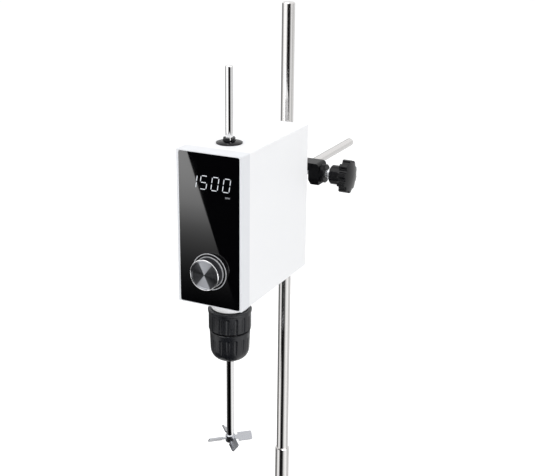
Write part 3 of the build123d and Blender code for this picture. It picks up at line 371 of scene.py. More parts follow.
@dataclass(frozen=True)
class Metal(Finish):
    """Bare metal, with the lines that the tool left."""

    lay: Lay = Lay.TURNED
    along: Axis = Axis.Z
    lines: float = 3200.0
    depth: float = 0.00002
    streak: float = 0.06
    line_strength: float = 0.3
    coarse: float = 30.0
    cast_grain: float = 700.0

    def stretch(self) -> Point:
        """Find how far the pattern is squeezed on each axis.

        Returns:
            The scale on each axis: fine across the lines and coarse along them.
        """
        if self.lay is Lay.CAST:
            return (self.cast_grain, self.cast_grain, self.cast_grain)
        coarse, fine = self.coarse, self.lines
        if self.lay is Lay.DRAWN:
            coarse, fine = fine, coarse
        return tuple(fine if axis == self.along.value else coarse for axis in range(3))

    def build(self, effects: Effects) -> bpy.types.Material:
        """Build the material.

        Args:
            effects: the shared node groups.

        Returns:
            The finished material.
        """
        material, graph, shader = self.start(effects)
        place = graph.add("ShaderNodeTexCoord").outputs["Object"]
        mapping = graph.add("ShaderNodeMapping")
        graph.feed(mapping, Vector=place, Scale=self.stretch())
        lines = graph.add("ShaderNodeGroup", node_tree=effects.drawn)
        graph.join(mapping.outputs["Vector"], lines.inputs["Vector"])
        self.tint(graph, shader, lines.outputs["Streak"], self.streak)
        self.relief(graph, shader, lines.outputs["Height"], self.line_strength, self.depth)
        shader.inputs["Metallic"].default_value = 1.0
        return material


@dataclass(frozen=True)
class Spun(Finish):
    """A face spun on a lathe, whose fine rings spread a highlight into two fan sectors; two bright
    fan sectors are also painted into its colour as painted highlight, with painted shade between
    them.
    """

    centre: Point = (0.0, 0.0, 0.0)
    rings: float = 5200.0
    ring_strength: float = 0.25
    ring_depth: float = 0.00001
    # Painted highlight: turn, darkening and edges of two bright fan sectors painted into the cap's
    # base colour, fixed to the knob.
    painted_fan_turn: float = 5.0
    painted_fan_shade: float = 0.80
    painted_fan_edge: tuple[float, float] = (0.30, 0.62)
    anisotropy: float = 0.93

    def build(self, effects: Effects) -> bpy.types.Material:
        """Build the material.

        Args:
            effects: the shared node groups.

        Returns:
            The finished material.
        """
        material, graph, shader = self.start(effects)
        place = graph.add("ShaderNodeTexCoord").outputs["Object"]
        mapping = graph.add("ShaderNodeMapping", vector_type="TEXTURE")
        graph.feed(mapping, Vector=place, Location=self.centre)
        mapping.inputs["Rotation"].default_value = (math.radians(90.0), 0.0, 0.0)
        rings = graph.add("ShaderNodeGroup", node_tree=effects.turned)
        graph.feed(rings, Scale=self.rings)
        graph.join(mapping.outputs["Vector"], rings.inputs["Vector"])
        self.relief(graph, shader, rings.outputs["Height"], self.ring_strength, self.ring_depth)
        offset = graph.add("ShaderNodeVectorMath", operation="SUBTRACT")
        graph.join(place, offset.inputs[0])
        offset.inputs[1].default_value = self.centre
        graph.join(offset.outputs["Vector"], shader.inputs["Tangent"])
        # Painted highlight and shade: the mask darkens the base colour between two bright fan
        # sectors.
        self.tint(graph, shader, self.painted_highlight_fans(graph, offset.outputs["Vector"]), self.painted_fan_shade)
        shader.inputs["Metallic"].default_value = 1.0
        shader.inputs["Anisotropic"].default_value = self.anisotropy
        return material

    def painted_highlight_fans(self, graph: Graph, offset: bpy.types.NodeSocket) -> bpy.types.NodeSocket:
        """A painted highlight mask: 1 in two opposite bright fan sectors of the face and 0 in the
        painted shade between them.

        Args:
            graph: the material's graph.
            offset: the place measured from the face's centre.

        Returns:
            The mask's socket.
        """
        parts = graph.add("ShaderNodeSeparateXYZ")
        graph.join(offset, parts.inputs[0])
        bearing = graph.math("ARCTAN2", parts.outputs[0], parts.outputs[2])
        turned = graph.math("SUBTRACT", bearing, math.radians(self.painted_fan_turn))
        wave = graph.math("COSINE", graph.math("MULTIPLY", turned, 2.0))
        spread = graph.add("ShaderNodeMapRange", interpolation_type="SMOOTHSTEP")
        graph.feed(spread, Value=wave, From_Min=self.painted_fan_edge[0], From_Max=self.painted_fan_edge[1])
        return spread.outputs["Result"]


@dataclass(frozen=True)
class Lit(Finish):
    """A lit segment of the display, or a printed legend given a painted glow."""

    strength: float = 0.55
    grain_scale: float = 700.0
    mottle: float = 0.05

    def build(self, effects: Effects) -> bpy.types.Material:
        """Build the material.

        Args:
            effects: the shared node groups.

        Returns:
            The finished material.
        """
        material, graph, shader = self.start(effects)
        grain = graph.add("ShaderNodeGroup", node_tree=effects.grain)
        graph.feed(grain, Scale=self.grain_scale)
        self.tint(graph, shader, grain.outputs["Mottle"], self.mottle)
        shader.inputs["Emission Color"].default_value = (*self.colour, 1.0)
        shader.inputs["Emission Strength"].default_value = self.strength
        return material


KNOB_LOW, KNOB_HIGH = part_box("knob_cap")
KNOB_CENTRE = tuple((KNOB_LOW + KNOB_HIGH) / 2)
KNOB_RADIUS = (KNOB_HIGH.x - KNOB_LOW.x) / 2

FINISHES: dict[str, Finish] = {
    "shell_white": Moulded(
        "White shell", (0.925, 0.929, 0.937), 0.36, 0.46,
        grain_scale=1300.0, grain_depth=0.00003, mottle=0.015,
    ),
    "frame_white": Moulded(
        "White frame", (0.80, 0.812, 0.835), 0.34, 0.44,
        grain_scale=1300.0, grain_depth=0.00003, mottle=0.015,
    ),
    # Painted light: a lighter copy of the white plastic, raised to offset the shade on the
    # downward-facing boss under the head.
    "nose_white_painted_light": Moulded(
        "White boss", (0.985, 0.985, 0.985), 0.30, 0.40,
        grain_scale=1300.0, grain_depth=0.00003, mottle=0.01,
    ),
    "panel_glass": Moulded(
        "Black glass", (0.0015, 0.0015, 0.002), 0.015, 0.035,
        grain_scale=60.0, grain_depth=0.0, mottle=0.3,
    ),
    "bright_trim": Metal(
        "Bright trim", (0.90, 0.90, 0.91), 0.12, 0.17,
        lay=Lay.TURNED, along=Axis.Y, lines=2600.0, depth=0.0000006,
    ),
    "satin_trim": Moulded(
        "Satin trim", (0.62, 0.625, 0.645), 0.12, 0.17,
        grain_scale=1300.0, grain_depth=0.000004, mottle=0.05,
    ),
    "spun_metal": Spun("Spun cap", (0.42, 0.43, 0.46), 0.34, 0.40, centre=KNOB_CENTRE),
    "knob_black": Moulded(
        "Knob grip", (0.022, 0.023, 0.027), 0.26, 0.36,
        grain_scale=1500.0, grain_depth=0.00003, mottle=0.2,
    ),
    "rod_steel": Metal(
        "Ground rod", (0.80, 0.785, 0.775), 0.10, 0.15,
        lay=Lay.TURNED, along=Axis.Z, lines=2600.0, depth=0.0000012,
    ),
    "bar_steel": Metal(
        "Ground bar", (0.76, 0.745, 0.735), 0.17, 0.24,
        lay=Lay.TURNED, along=Axis.Y, lines=2600.0, depth=0.000002,
    ),
    "stir_steel": Metal(
        "Polished shaft", (0.86, 0.855, 0.855), 0.05, 0.08,
        lay=Lay.TURNED, along=Axis.Z, lines=2600.0, depth=0.0000012,
    ),
    "blade_steel": Metal(
        "Satin blades", (0.52, 0.53, 0.56), 0.20, 0.28,
        lay=Lay.DRAWN, along=Axis.X, lines=1800.0, depth=0.00001,
    ),
    "chuck_black": Moulded(
        "Chuck sleeve", (0.008, 0.009, 0.012), 0.20, 0.28,
        grain_scale=1200.0, grain_depth=0.00003, mottle=0.25, specular=0.45,
    ),
    "chuck_steel": Metal(
        "Turned steel", (0.32, 0.32, 0.34), 0.28, 0.36,
        lay=Lay.TURNED, along=Axis.Z,
    ),
    "cap_black": Moulded(
        "Gloss black", (0.004, 0.004, 0.006), 0.10, 0.16,
        grain_scale=900.0, grain_depth=0.00001, mottle=0.2, specular=0.2,
    ),
    "boss_black": Moulded(
        "Coated casting", (0.003, 0.003, 0.004), 0.20, 0.28,
        grain_scale=650.0, grain_depth=0.00003, mottle=0.3, specular=0.12,
    ),
    "knob_bakelite": Moulded(
        "Black knob", (0.003, 0.003, 0.004), 0.12, 0.18,
        grain_scale=900.0, grain_depth=0.00001, mottle=0.2, specular=0.2,
    ),
    "zinc_steel": Metal(
        "Plated steel", (0.66, 0.67, 0.69), 0.20, 0.28,
        lay=Lay.TURNED, along=Axis.X,
    ),
    "pad_brass": Metal(
        "Turned brass", (0.72, 0.53, 0.24), 0.26, 0.34,
        lay=Lay.TURNED, along=Axis.X,
    ),
    "plate_paint": Moulded(
        "Textured coat", (0.86, 0.865, 0.87), 0.42, 0.54,
        grain_scale=620.0, grain_depth=0.00018, mottle=0.03,
    ),
    "foot_rubber": Moulded(
        "Black rubber", (0.028, 0.028, 0.029), 0.62, 0.74,
        grain_scale=800.0, grain_depth=0.00008, mottle=0.3,
    ),
    "bumper_rubber": Moulded(
        "Pale rubber", (0.78, 0.78, 0.79), 0.55, 0.65,
        grain_scale=800.0, grain_depth=0.00006, mottle=0.05,
    ),
    "cast_alloy": Metal(
        "Cast alloy", (0.62, 0.63, 0.65), 0.42, 0.54,
        lay=Lay.CAST, along=Axis.Z, lines=700.0, depth=0.0002,
    ),
    "motor_steel": Metal("Motor can", (0.55, 0.56, 0.58), 0.26, 0.34, lay=Lay.DRAWN, along=Axis.Z),
    "bearing_bronze": Metal(
        "Sintered bronze", (0.62, 0.42, 0.24), 0.34, 0.44,
        lay=Lay.CAST, along=Axis.Z,
    ),
    "gear_plastic": Moulded(
        "Natural gear", (0.80, 0.77, 0.68), 0.38, 0.48,
        grain_scale=900.0, grain_depth=0.00004, mottle=0.08,
    ),
    "board_green": Moulded(
        "Coated board", (0.02, 0.13, 0.05), 0.26, 0.36,
        grain_scale=400.0, grain_depth=0.00003, mottle=0.25, coat=0.3,
    ),
    "display_light": Lit("Lit segment", (0.72, 0.75, 0.79), 0.30, 0.36, strength=0.24),
    # Painted light: the printed RPM legend is grey print given a faint painted glow by emission.
    "legend_painted_glow": Lit("Dim legend", (0.34, 0.35, 0.37), 0.30, 0.36, strength=0.10),
    "socket_black": Moulded(
        "Socket black", (0.018, 0.018, 0.019), 0.34, 0.44,
        grain_scale=1000.0, grain_depth=0.00006, mottle=0.2,
    ),
    "pin_brass": Metal("Plated pin", (0.78, 0.66, 0.40), 0.14, 0.22, lay=Lay.DRAWN, along=Axis.Y),
}
NODE_FINISHES = {
    "mounting_bar": "bar_steel", "front_frame": "frame_white", "nose_boss": "nose_white_painted_light",
    "panel_ring": "satin_trim", "knob_skirt_ring": "satin_trim",
}


class Palette:
    """The built materials, by the record's slot."""

    def __init__(self, effects: Effects) -> None:
        """Build every finish.

        Args:
            effects: the shared node groups.
        """
        self.materials = {slot: finish.build(effects) for slot, finish in FINISHES.items()}

    def dress_frame(self) -> None:
        """Give every node of the frame its finish."""
        slots = {part["node"]: part["material_slot"] for part in frame["record"]["subparts"]}
        for name, node in frame["nodes"].items():
            slot = NODE_FINISHES.get(name, slots[name])
            for place in node.material_slots:
                place.material = self.materials[slot]

    def dress(self, piece: bpy.types.Object, slot: str, finish: str = "") -> None:
        """Give a new piece the finish of one slot.

        Args:
            piece: the piece, which may have no material yet.
            slot: name of the record's slot.
            finish: name of a finish in its place, which a scene repaints as that slot.
        """
        piece.data.materials.clear()
        piece.data.materials.append(self.materials[finish or slot])


# ------------------------------------------------------------------ mesh helpers
SOFT_ANGLE = 40.0
RING_ANGLE = 60.0


def new_piece(
    name: str, vertices: Iterable[Point], faces: Iterable[Sequence[int]]
) -> bpy.types.Object:
    """Make a mesh object at the origin.

    Args:
        name: name of the piece.
        vertices: places in metres, in the row frame.
        faces: vertex numbers of each face, anticlockwise from outside.

    Returns:
        The new object, in the scene.
    """
    mesh = bpy.data.meshes.new(name)
    mesh.from_pydata([tuple(v) for v in vertices], [], [tuple(f) for f in faces])
    mesh.update()
    piece = bpy.data.objects.new(name, mesh)
    bpy.context.scene.collection.objects.link(piece)
    return piece


def close_up(piece: bpy.types.Object) -> bpy.types.Object:
    """Merge doubled points and turn every face outwards.

    Args:
        piece: the closed solid, which is changed.

    Returns:
        The same piece.
    """
    shell = bmesh.new()
    shell.from_mesh(piece.data)
    bmesh.ops.remove_doubles(shell, verts=shell.verts, dist=1e-7)
    bmesh.ops.recalc_face_normals(shell, faces=shell.faces)
    shell.to_mesh(piece.data)
    shell.free()
    return piece


def soften(piece: bpy.types.Object, angle: float = SOFT_ANGLE) -> bpy.types.Object:
    """Shade a piece smooth, apart from its sharp edges.

    Args:
        piece: the piece, which is changed.
        angle: the angle in degrees from which an edge stays sharp.

    Returns:
        The same piece.
    """
    piece.data.shade_smooth()
    piece.data.set_sharp_from_angle(angle=math.radians(angle))
    return piece


def plates(
    name: str, outlines: Sequence[Sequence[tuple[float, float]]], back: float, front: float
) -> bpy.types.Object:
    """Make flat plates that face -Y.

    Args:
        name: name of the piece.
        outlines: X and Z of each plate's corners, in metres.
        back: Y of the plates' backs.
        front: Y of their fronts.

    Returns:
        One object with every plate as a closed solid.
    """
    vertices: list[Point] = []
    faces: list[list[int]] = []
    for outline in outlines:
        first, count = len(vertices), len(outline)
        vertices += [(x, front, z) for x, z in outline] + [(x, back, z) for x, z in outline]
        faces.append([first + i for i in range(count)])
        faces.append([first + count + i for i in reversed(range(count))])
        for i in range(count):
            after = (i + 1) % count
            faces.append([first + i, first + count + i, first + count + after, first + after])
    return close_up(new_piece(name, vertices, faces))


def repeat_along(
    name: str, piece: bpy.types.Object, material: bpy.types.Material, count: int, step: Point
) -> bpy.types.Object:
    """Repeat a small solid along a line with Geometry Nodes and keep the result as a mesh.

    Args:
        name: name of the finished piece.
        piece: the solid, at its first place; it is used up.
        material: material of the copies.
        count: how many copies there are.
        step: the way from one copy to the next, in metres.

    Returns:
        The finished object, at the origin.
    """
    tree = bpy.data.node_groups.new(f"{name} row", "GeometryNodeTree")
    graph = Graph(tree)
    tree.interface.new_socket("Geometry", in_out="INPUT", socket_type="NodeSocketGeometry")
    count_socket = tree.interface.new_socket("Count", in_out="INPUT", socket_type="NodeSocketInt")
    step_socket = tree.interface.new_socket("Step", in_out="INPUT", socket_type="NodeSocketVector")
    tree.interface.new_socket("Geometry", in_out="OUTPUT", socket_type="NodeSocketGeometry")
    start, end = graph.add("NodeGroupInput"), graph.add("NodeGroupOutput")
    row = graph.add("GeometryNodeMeshLine")
    graph.feed(row, Count=start.outputs["Count"], Offset=start.outputs["Step"])
    copies = graph.add("GeometryNodeInstanceOnPoints")
    graph.feed(copies, Points=row.outputs["Mesh"], Instance=start.outputs["Geometry"])
    real = graph.add("GeometryNodeRealizeInstances")
    graph.join(copies.outputs["Instances"], real.inputs["Geometry"])
    finish = graph.add("GeometryNodeSetMaterial")
    finish.inputs["Material"].default_value = material
    graph.join(real.outputs["Geometry"], finish.inputs["Geometry"])
    graph.join(finish.outputs["Geometry"], end.inputs["Geometry"])
    modifier = piece.modifiers.new("Row", "NODES")
    modifier.node_group = tree
    modifier[count_socket.identifier] = count
    modifier[step_socket.identifier] = step
    bpy.context.view_layer.update()
    seen = piece.evaluated_get(bpy.context.evaluated_depsgraph_get())
    made = bpy.data.objects.new(name, bpy.data.meshes.new_from_object(seen))
    bpy.context.scene.collection.objects.link(made)
    piece.modifiers.remove(modifier)
    bpy.data.objects.remove(piece)
    return made


def hoop(
    name: str, centre: Point, axis: Axis, radius: float, wire: float, steps: int, sides: int
) -> bpy.types.Object:
    """Make a closed ring of round wire.

    Args:
        name: name of the piece.
        centre: the ring's middle.
        axis: the axis that it goes round.
        radius: from the axis to the middle of the wire, in metres.
        wire: the wire's own radius, in metres.
        steps: how many sections it has.
        sides: how many sides a section has.

    Returns:
        The ring, shaded smooth.
    """
    first, second = (axis.value + 1) % 3, (axis.value + 2) % 3
    vertices, faces = [], []
    for step in range(steps):
        turn = math.tau * step / steps
        for side in range(sides):
            lean = math.tau * side / sides
            place = Vector(centre)
            place[first] += (radius + wire * math.cos(lean)) * math.cos(turn)
            place[second] += (radius + wire * math.cos(lean)) * math.sin(turn)
            place[axis.value] += wire * math.sin(lean)
            vertices.append(place)
            here, after = step * sides, (step + 1) % steps * sides
            nearby = (side + 1) % sides
            faces.append((here + side, here + nearby, after + nearby, after + side))
    return soften(close_up(new_piece(name, vertices, faces)), RING_ANGLE)


def put(piece: bpy.types.Object, place: Matrix) -> bpy.types.Object:
    """Move a piece's mesh, and leave its object at the origin.

    Args:
        piece: the piece, which is changed.
        place: the move and turn of its mesh.

    Returns:
        The same piece.
    """
    piece.data.transform(place)
    piece.data.update()
    return piece


# ------------------------------------------------------------------ sub-assemblies
class Segment(Enum):
    """A bar of a seven-segment digit: start and end in half widths and half heights."""

    TOP = ((-1, 1), (1, 1))
    UPPER_RIGHT = ((1, 1), (1, 0))
    LOWER_RIGHT = ((1, 0), (1, -1))
    BOTTOM = ((-1, -1), (1, -1))
    LOWER_LEFT = ((-1, 0), (-1, -1))
    UPPER_LEFT = ((-1, 1), (-1, 0))
    MIDDLE = ((-1, 0), (1, 0))


DIGIT_SEGMENTS = {
    "0": [s for s in Segment if s is not Segment.MIDDLE],
    "1": [Segment.UPPER_RIGHT, Segment.LOWER_RIGHT],
    "5": [Segment.TOP, Segment.UPPER_LEFT, Segment.MIDDLE, Segment.LOWER_RIGHT, Segment.BOTTOM],
}


@dataclass
class Display:
    """The figures that shine through the glass panel, and the printed unit legend with a faint
    painted glow.
    """

    palette: Palette
    front: float = -0.15104
    back: float = -0.1509
    centre_z: float = 0.5463
    centres_x: tuple[float, ...] = (0.0012, 0.0130, 0.0260, 0.0392)
    half_width: float = 0.0037
    half_height: float = 0.0070
    bar: float = 0.0008
    gap: float = 0.00072
    slant: float = math.tan(math.radians(9.0))
    unit_place: tuple[float, float] = (0.0376, 0.5325)
    unit_size: float = 0.0029

    def segment(
        self, centre_x: float, ends: Sequence[tuple[int, int]]
    ) -> list[tuple[float, float]]:
        """Corners of one bar with pointed ends.

        Args:
            centre_x: X of the digit's centre.
            ends: the bar's ends in half widths and half heights.

        Returns:
            X and Z of six corners.
        """
        start, end = [
            Vector((across * self.half_width, up * self.half_height)) for across, up in ends
        ]
        along = (end - start).normalized()
        side = Vector((-along.y, along.x)) * self.bar / 2
        start, end = start + along * self.gap, end - along * self.gap
        shoulder = along * self.bar / 2
        corners = [start, start + shoulder - side, end - shoulder - side]
        corners += [end, end - shoulder + side, start + shoulder + side]
        return [(centre_x + c.x + c.y * self.slant, self.centre_z + c.y) for c in corners]

    def build(self) -> list[bpy.types.Object]:
        """Make the figures and the unit.

        Returns:
            Both pieces, which ride with the head.
        """
        bars = [
            self.segment(centre_x, part.value)
            for centre_x, digit in zip(self.centres_x, "1500")
            for part in DIGIT_SEGMENTS[digit]
        ]
        figures = plates("display_figures", bars, self.back, self.front)
        curve = bpy.data.curves.new("display_unit", "FONT")
        curve.body = "RPM"
        curve.size = self.unit_size
        curve.extrude = (self.back - self.front) / 2
        text = bpy.data.objects.new("display_unit_text", curve)
        bpy.context.scene.collection.objects.link(text)
        mesh = bpy.data.meshes.new_from_object(
            text.evaluated_get(bpy.context.evaluated_depsgraph_get())
        )
        bpy.data.objects.remove(text)
        unit = bpy.data.objects.new("display_unit", mesh)
        bpy.context.scene.collection.objects.link(unit)
        place = Vector((self.unit_place[0], (self.front + self.back) / 2, self.unit_place[1]))
        put(unit, Matrix.Translation(place) @ Matrix.Rotation(math.radians(90.0), 4, "X"))
        self.palette.dress(figures, "display_light")
        # The printed unit legend gets a faint painted glow.
        self.palette.dress(close_up(unit), "display_light", "legend_painted_glow")
        for piece in (figures, unit):
            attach(piece, Body.HEAD.value)
        return [figures, unit]


@dataclass
class KnobDetail:
    """The bright rim round the speed knob's cap, and the pointer on it."""

    palette: Palette
    centre: Point = (KNOB_CENTRE[0], KNOB_LOW.y, KNOB_CENTRE[2])
    radius: float = KNOB_RADIUS
    bearing: float = -58.0
    width: float = 0.0021
    length: float = 0.0026
    depth: float = 0.0034
    rim_wire: float = 0.00055
    rim_steps: int = 96
    rim_sides: int = 12
    edge_width: float = 0.0003

    def build(self) -> list[bpy.types.Object]:
        """Make both pieces.

        Returns:
            The rim and the pointer, which turn with the knob.
        """
        pieces = [self.rim(), self.pointer()]
        for piece in pieces:
            self.palette.dress(piece, "bright_trim")
            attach(piece, Body.KNOB.value)
        return pieces

    def rim(self) -> bpy.types.Object:
        """Make a fine polished ring that frames the spun face.

        Returns:
            The ring.
        """
        wire = self.rim_wire
        middle = (self.centre[0], self.centre[1] + wire * 1.05, self.centre[2])
        radius = self.radius - wire * 0.2
        return hoop("knob_rim", middle, Axis.Y, radius, wire, self.rim_steps, self.rim_sides)

    def pointer(self) -> bpy.types.Object:
        """Make the pointer as a small rounded wedge across the rim.

        Returns:
            The pointer.
        """
        profile = [(-0.5, 0.0), (0.5, 0.0), (0.32, 1.0), (-0.32, 1.0)]
        inner = self.radius - self.length * 0.75
        corners = [(inner + up * self.length, side * self.width) for side, up in profile]
        angle = math.radians(self.bearing)
        radial = Vector((math.cos(angle), math.sin(angle)))
        across = Vector((-radial.y, radial.x))
        outline = [radial * out + across * side for out, side in corners]
        shape = [(self.centre[0] + p.x, self.centre[2] + p.y) for p in outline]
        pointer = plates("knob_pointer", [shape], self.centre[1] + self.depth, self.centre[1])
        edge = pointer.modifiers.new("Rounded edges", "BEVEL")
        edge.width, edge.segments = self.edge_width, 2
        return soften(pointer)


@dataclass
class ClampThreads:
    """The crests of the thread on each clamp screw, where it shows beside its knob."""

    palette: Palette
    crest: float = 0.00034
    pitch: float = 0.00125
    count: int = 6
    screw_radius: float = 0.004
    collar: float = 0.004
    ring_steps: int = 40
    ring_sides: int = 8

    def build(self) -> list[bpy.types.Object]:
        """Make one row of crests for each clamp."""
        return [self.row("rod_clamp", -1.0), self.row("bar_clamp", 1.0)]

    def row(self, clamp: str, side: float) -> bpy.types.Object:
        """Make the crests of one clamp screw.

        Args:
            clamp: the clamp's name, before the node's own word.
            side: -1 where the knob lies towards -X of its screw, or else 1.

        Returns:
            The row, which rides with the knob.
        """
        screw_low, screw_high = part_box(f"{clamp}_screw")
        knob_low, knob_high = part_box(f"{clamp}_knob")
        centre = (screw_low + screw_high) / 2
        inner = knob_low.x if side > 0 else knob_high.x
        radius = self.screw_radius - self.crest / 2
        first = (inner - side * (self.collar + self.crest), centre.y, centre.z)
        steps, sides = self.ring_steps, self.ring_sides
        ring = hoop(f"{clamp}_crest", first, Axis.X, radius, self.crest, steps, sides)
        step = (-side * self.pitch, 0.0, 0.0)
        steel = self.palette.materials["zinc_steel"]
        row = repeat_along(f"{clamp}_thread", ring, steel, self.count, step)
        self.palette.dress(row, "zinc_steel")
        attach(row, f"{clamp}_knob")
        return row


# ------------------------------------------------------------------ studio
@dataclass(frozen=True)
class Flag:
    """A curved studio card that only shiny surfaces see, with a tone for each bearing."""

    name: str
    centre: tuple[float, float]
    rim: tuple[tuple[float, float], ...]
    tones: tuple[tuple[float, float], ...]
    step: float = 4.0

    def tone(self, bearing: float) -> float:
        """Find the card's brightness at a bearing, between the two nearest tones.

        Args:
            bearing: the bearing in degrees.

        Returns:
            The brightness.
        """
        for (low, before), (high, after) in zip(self.tones, self.tones[1:]):
            if low <= bearing <= high:
                return before + (after - before) * (bearing - low) / (high - low)
        return self.tones[-1][1]

    def build(self) -> bpy.types.Object:
        """Make the card; a bearing of 0 lies towards -Y, and 90 towards +X.

        Its section is the rim: radius and height of each point, in metres.

        Returns:
            The card, in the scene.
        """
        first, last = self.tones[0][0], self.tones[-1][0]
        count = max(1, round((last - first) / self.step))
        vertices: list[Point] = []
        tones: list[float] = []
        for number in range(count + 1):
            bearing = first + (last - first) * number / count
            out = Vector((math.sin(math.radians(bearing)), -math.cos(math.radians(bearing))))
            for radius, height in self.rim:
                place = Vector(self.centre) + out * radius
                vertices.append((place.x, place.y, height))
                tones.append(self.tone(bearing))
        across = len(self.rim)
        faces = [
            (n * across + k, (n + 1) * across + k, (n + 1) * across + k + 1, n * across + k + 1)
            for n in range(count)
            for k in range(across - 1)
        ]
        card = new_piece(self.name, vertices, faces)
        card.data.attributes.new("tone", "FLOAT", "POINT").data.foreach_set("value", tones)
        material, graph = blank_material(self.name)
        light = graph.add("ShaderNodeEmission")
        tone = graph.add("ShaderNodeAttribute", attribute_name="tone")
        graph.join(tone.outputs["Fac"], light.inputs["Strength"])
        graph.join(light.outputs[0], graph.add("ShaderNodeOutputMaterial").inputs["Surface"])
        card.data.materials.append(material)
        return hide_from_all_but_gloss(card)


def hide_from_all_but_gloss(card: bpy.types.Object) -> bpy.types.Object:
    """Set a card so that it shows only in reflections and casts no shadow.

    Args:
        card: the card.

    Returns:
        The same card.
    """
    card.visible_camera = False
    card.visible_diffuse = False
    card.visible_shadow = False
    card.visible_transmission = False
    card.visible_volume_scatter = False
    return card


@dataclass
class Studio:
    """Floor, world, lamps, reflection cards and camera."""

    floor_half: float = 6.0
    floor_level: float = -0.0004
    floor_albedo: float = 0.86
    floor_glow: float = 0.36
    world_strength: float = 0.80
    camera_place: Point = (0.5342, -1.0648, 0.8555)
    camera_yaw: float = -0.4564
    camera_pitch: float = 0.33668
    camera_roll: float = 0.009
    camera_lens: float = 73.28
    camera_sensor: float = 36.0
    sheen_depth: float = -0.451
    sheen_corners: tuple[tuple[float, float], ...] = (
        (-0.23, 0.52), (-0.1952, 0.52), (-0.1048, 0.26), (-0.23, 0.26),
    )
    sheen_tones: tuple[tuple[float, float], ...] = (
        (0.26, 0.0), (0.2867, 0.05), (0.3129, 0.2), (0.3458, 0.6), (0.3721, 1.2), (0.3984, 2.4),
        (0.4247, 3.7), (0.4734, 4.8), (0.52, 4.8),
    )
    flags: list[Flag] = field(default_factory=lambda: [
        Flag("flag_knob", (0.019, -0.167), ((0.40, 0.20), (0.40, 0.375)), (
            (-88.0, 0.0), (8.0, 0.0),
        )),
        Flag("card_rings", (0.019, -0.157), ((0.30, 0.29), (0.30, 0.46)), (
            (22.0, 3.0), (104.0, 3.0),
        )),
        Flag("flag_panel", (0.019, -0.15), ((0.93, 0.002), (2.35, 0.002)), (
            (-37.0, 0.0), (-23.0, 0.0),
        )),
        Flag("flag_shaft", (0.019, -0.107), ((0.12, 0.14), (0.12, 0.29)), (
            (-104.0, 0.3), (-64.0, 0.06), (-36.0, 0.0), (44.0, 0.0),
        )),
        Flag("flag_floor", (0.0, 0.071), ((0.03, 0.026), (0.30, 0.026), (1.05, 0.002)), (
            (-180.0, 0.9), (-150.0, 0.7), (-120.0, 0.3), (-98.0, 0.08), (-84.0, 0.16),
            (-66.0, 0.45), (-46.0, 1.2), (-30.0, 1.0), (-16.0, 0.2), (-6.0, 0.0),
            (18.0, 0.0), (30.0, 0.06),
            (40.0, 0.3), (52.0, 0.9), (90.0, 1.2), (112.0, 0.62), (140.0, 0.75), (180.0, 0.9),
        )),
        Flag("flag_room", (0.0, 0.0), ((1.05, 0.001), (2.4, 0.001), (2.4, 0.95)), (
            (-180.0, 0.8), (-150.0, 0.4), (-118.0, 0.18), (-96.0, 0.28), (-74.0, 0.5), (-56.0, 1.3),
            (-12.0, 1.3), (-2.0, 0.9), (6.0, 0.25), (14.0, 0.01), (50.0, 0.0), (58.0, 0.12),
            (66.0, 0.46), (76.0, 0.85), (92.0, 0.92), (108.0, 0.55), (126.0, 0.75), (180.0, 0.9),
        )),
    ])

    def seen_directly(self, graph: Graph) -> bpy.types.NodeSocket:
        """Pick the rays that show the background: direct, off gloss or through glass.

        Args:
            graph: the graph that the mask is added to.

        Returns:
            The mask's socket.
        """
        path = graph.add("ShaderNodeLightPath")
        glossy, through = path.outputs["Is Glossy Ray"], path.outputs["Is Transmission Ray"]
        shine = graph.math("MAXIMUM", glossy, through)
        return graph.math("MAXIMUM", path.outputs["Is Camera Ray"], shine)

    def build_world(self) -> None:
        """Plain soft light from all round, with a white background."""
        world = bpy.data.worlds.new("Studio")
        bpy.context.scene.world = world
        world.use_nodes = True
        graph = Graph(world.node_tree)
        graph.tree.nodes.clear()
        ambient, white = graph.add("ShaderNodeBackground"), graph.add("ShaderNodeBackground")
        graph.feed(ambient, Color=(0.985, 0.99, 1.0, 1.0), Strength=self.world_strength)
        graph.feed(white, Color=(1.0, 1.0, 1.0, 1.0), Strength=1.0)
        choice = graph.add("ShaderNodeMixShader")
        graph.join(self.seen_directly(graph), choice.inputs[0])
        graph.join(ambient.outputs[0], choice.inputs[1])
        graph.join(white.outputs[0], choice.inputs[2])
        graph.join(choice.outputs[0], graph.add("ShaderNodeOutputWorld").inputs["Surface"])

    def build_floor(self) -> None:
        """A plain pale floor that keeps the object's shadow."""
        reach, level = self.floor_half, self.floor_level
        corners = [(-reach, -reach, level), (reach, -reach, level), (reach, reach, level)]
        floor = new_piece("floor", [*corners, (-reach, reach, level)], [(0, 1, 2, 3)])
        material, graph = blank_material("Pale floor")
        matt, glow = graph.add("ShaderNodeBsdfDiffuse"), graph.add("ShaderNodeEmission")
        matt.inputs["Color"].default_value = (*[self.floor_albedo] * 3, 1.0)
        strength = graph.math("MULTIPLY", self.seen_directly(graph), self.floor_glow)
        graph.join(strength, glow.inputs["Strength"])
        both = graph.add("ShaderNodeAddShader")
        graph.join(matt.outputs[0], both.inputs[0])
        graph.join(glow.outputs[0], both.inputs[1])
        graph.join(both.outputs[0], graph.add("ShaderNodeOutputMaterial").inputs["Surface"])
        floor.data.materials.append(material)

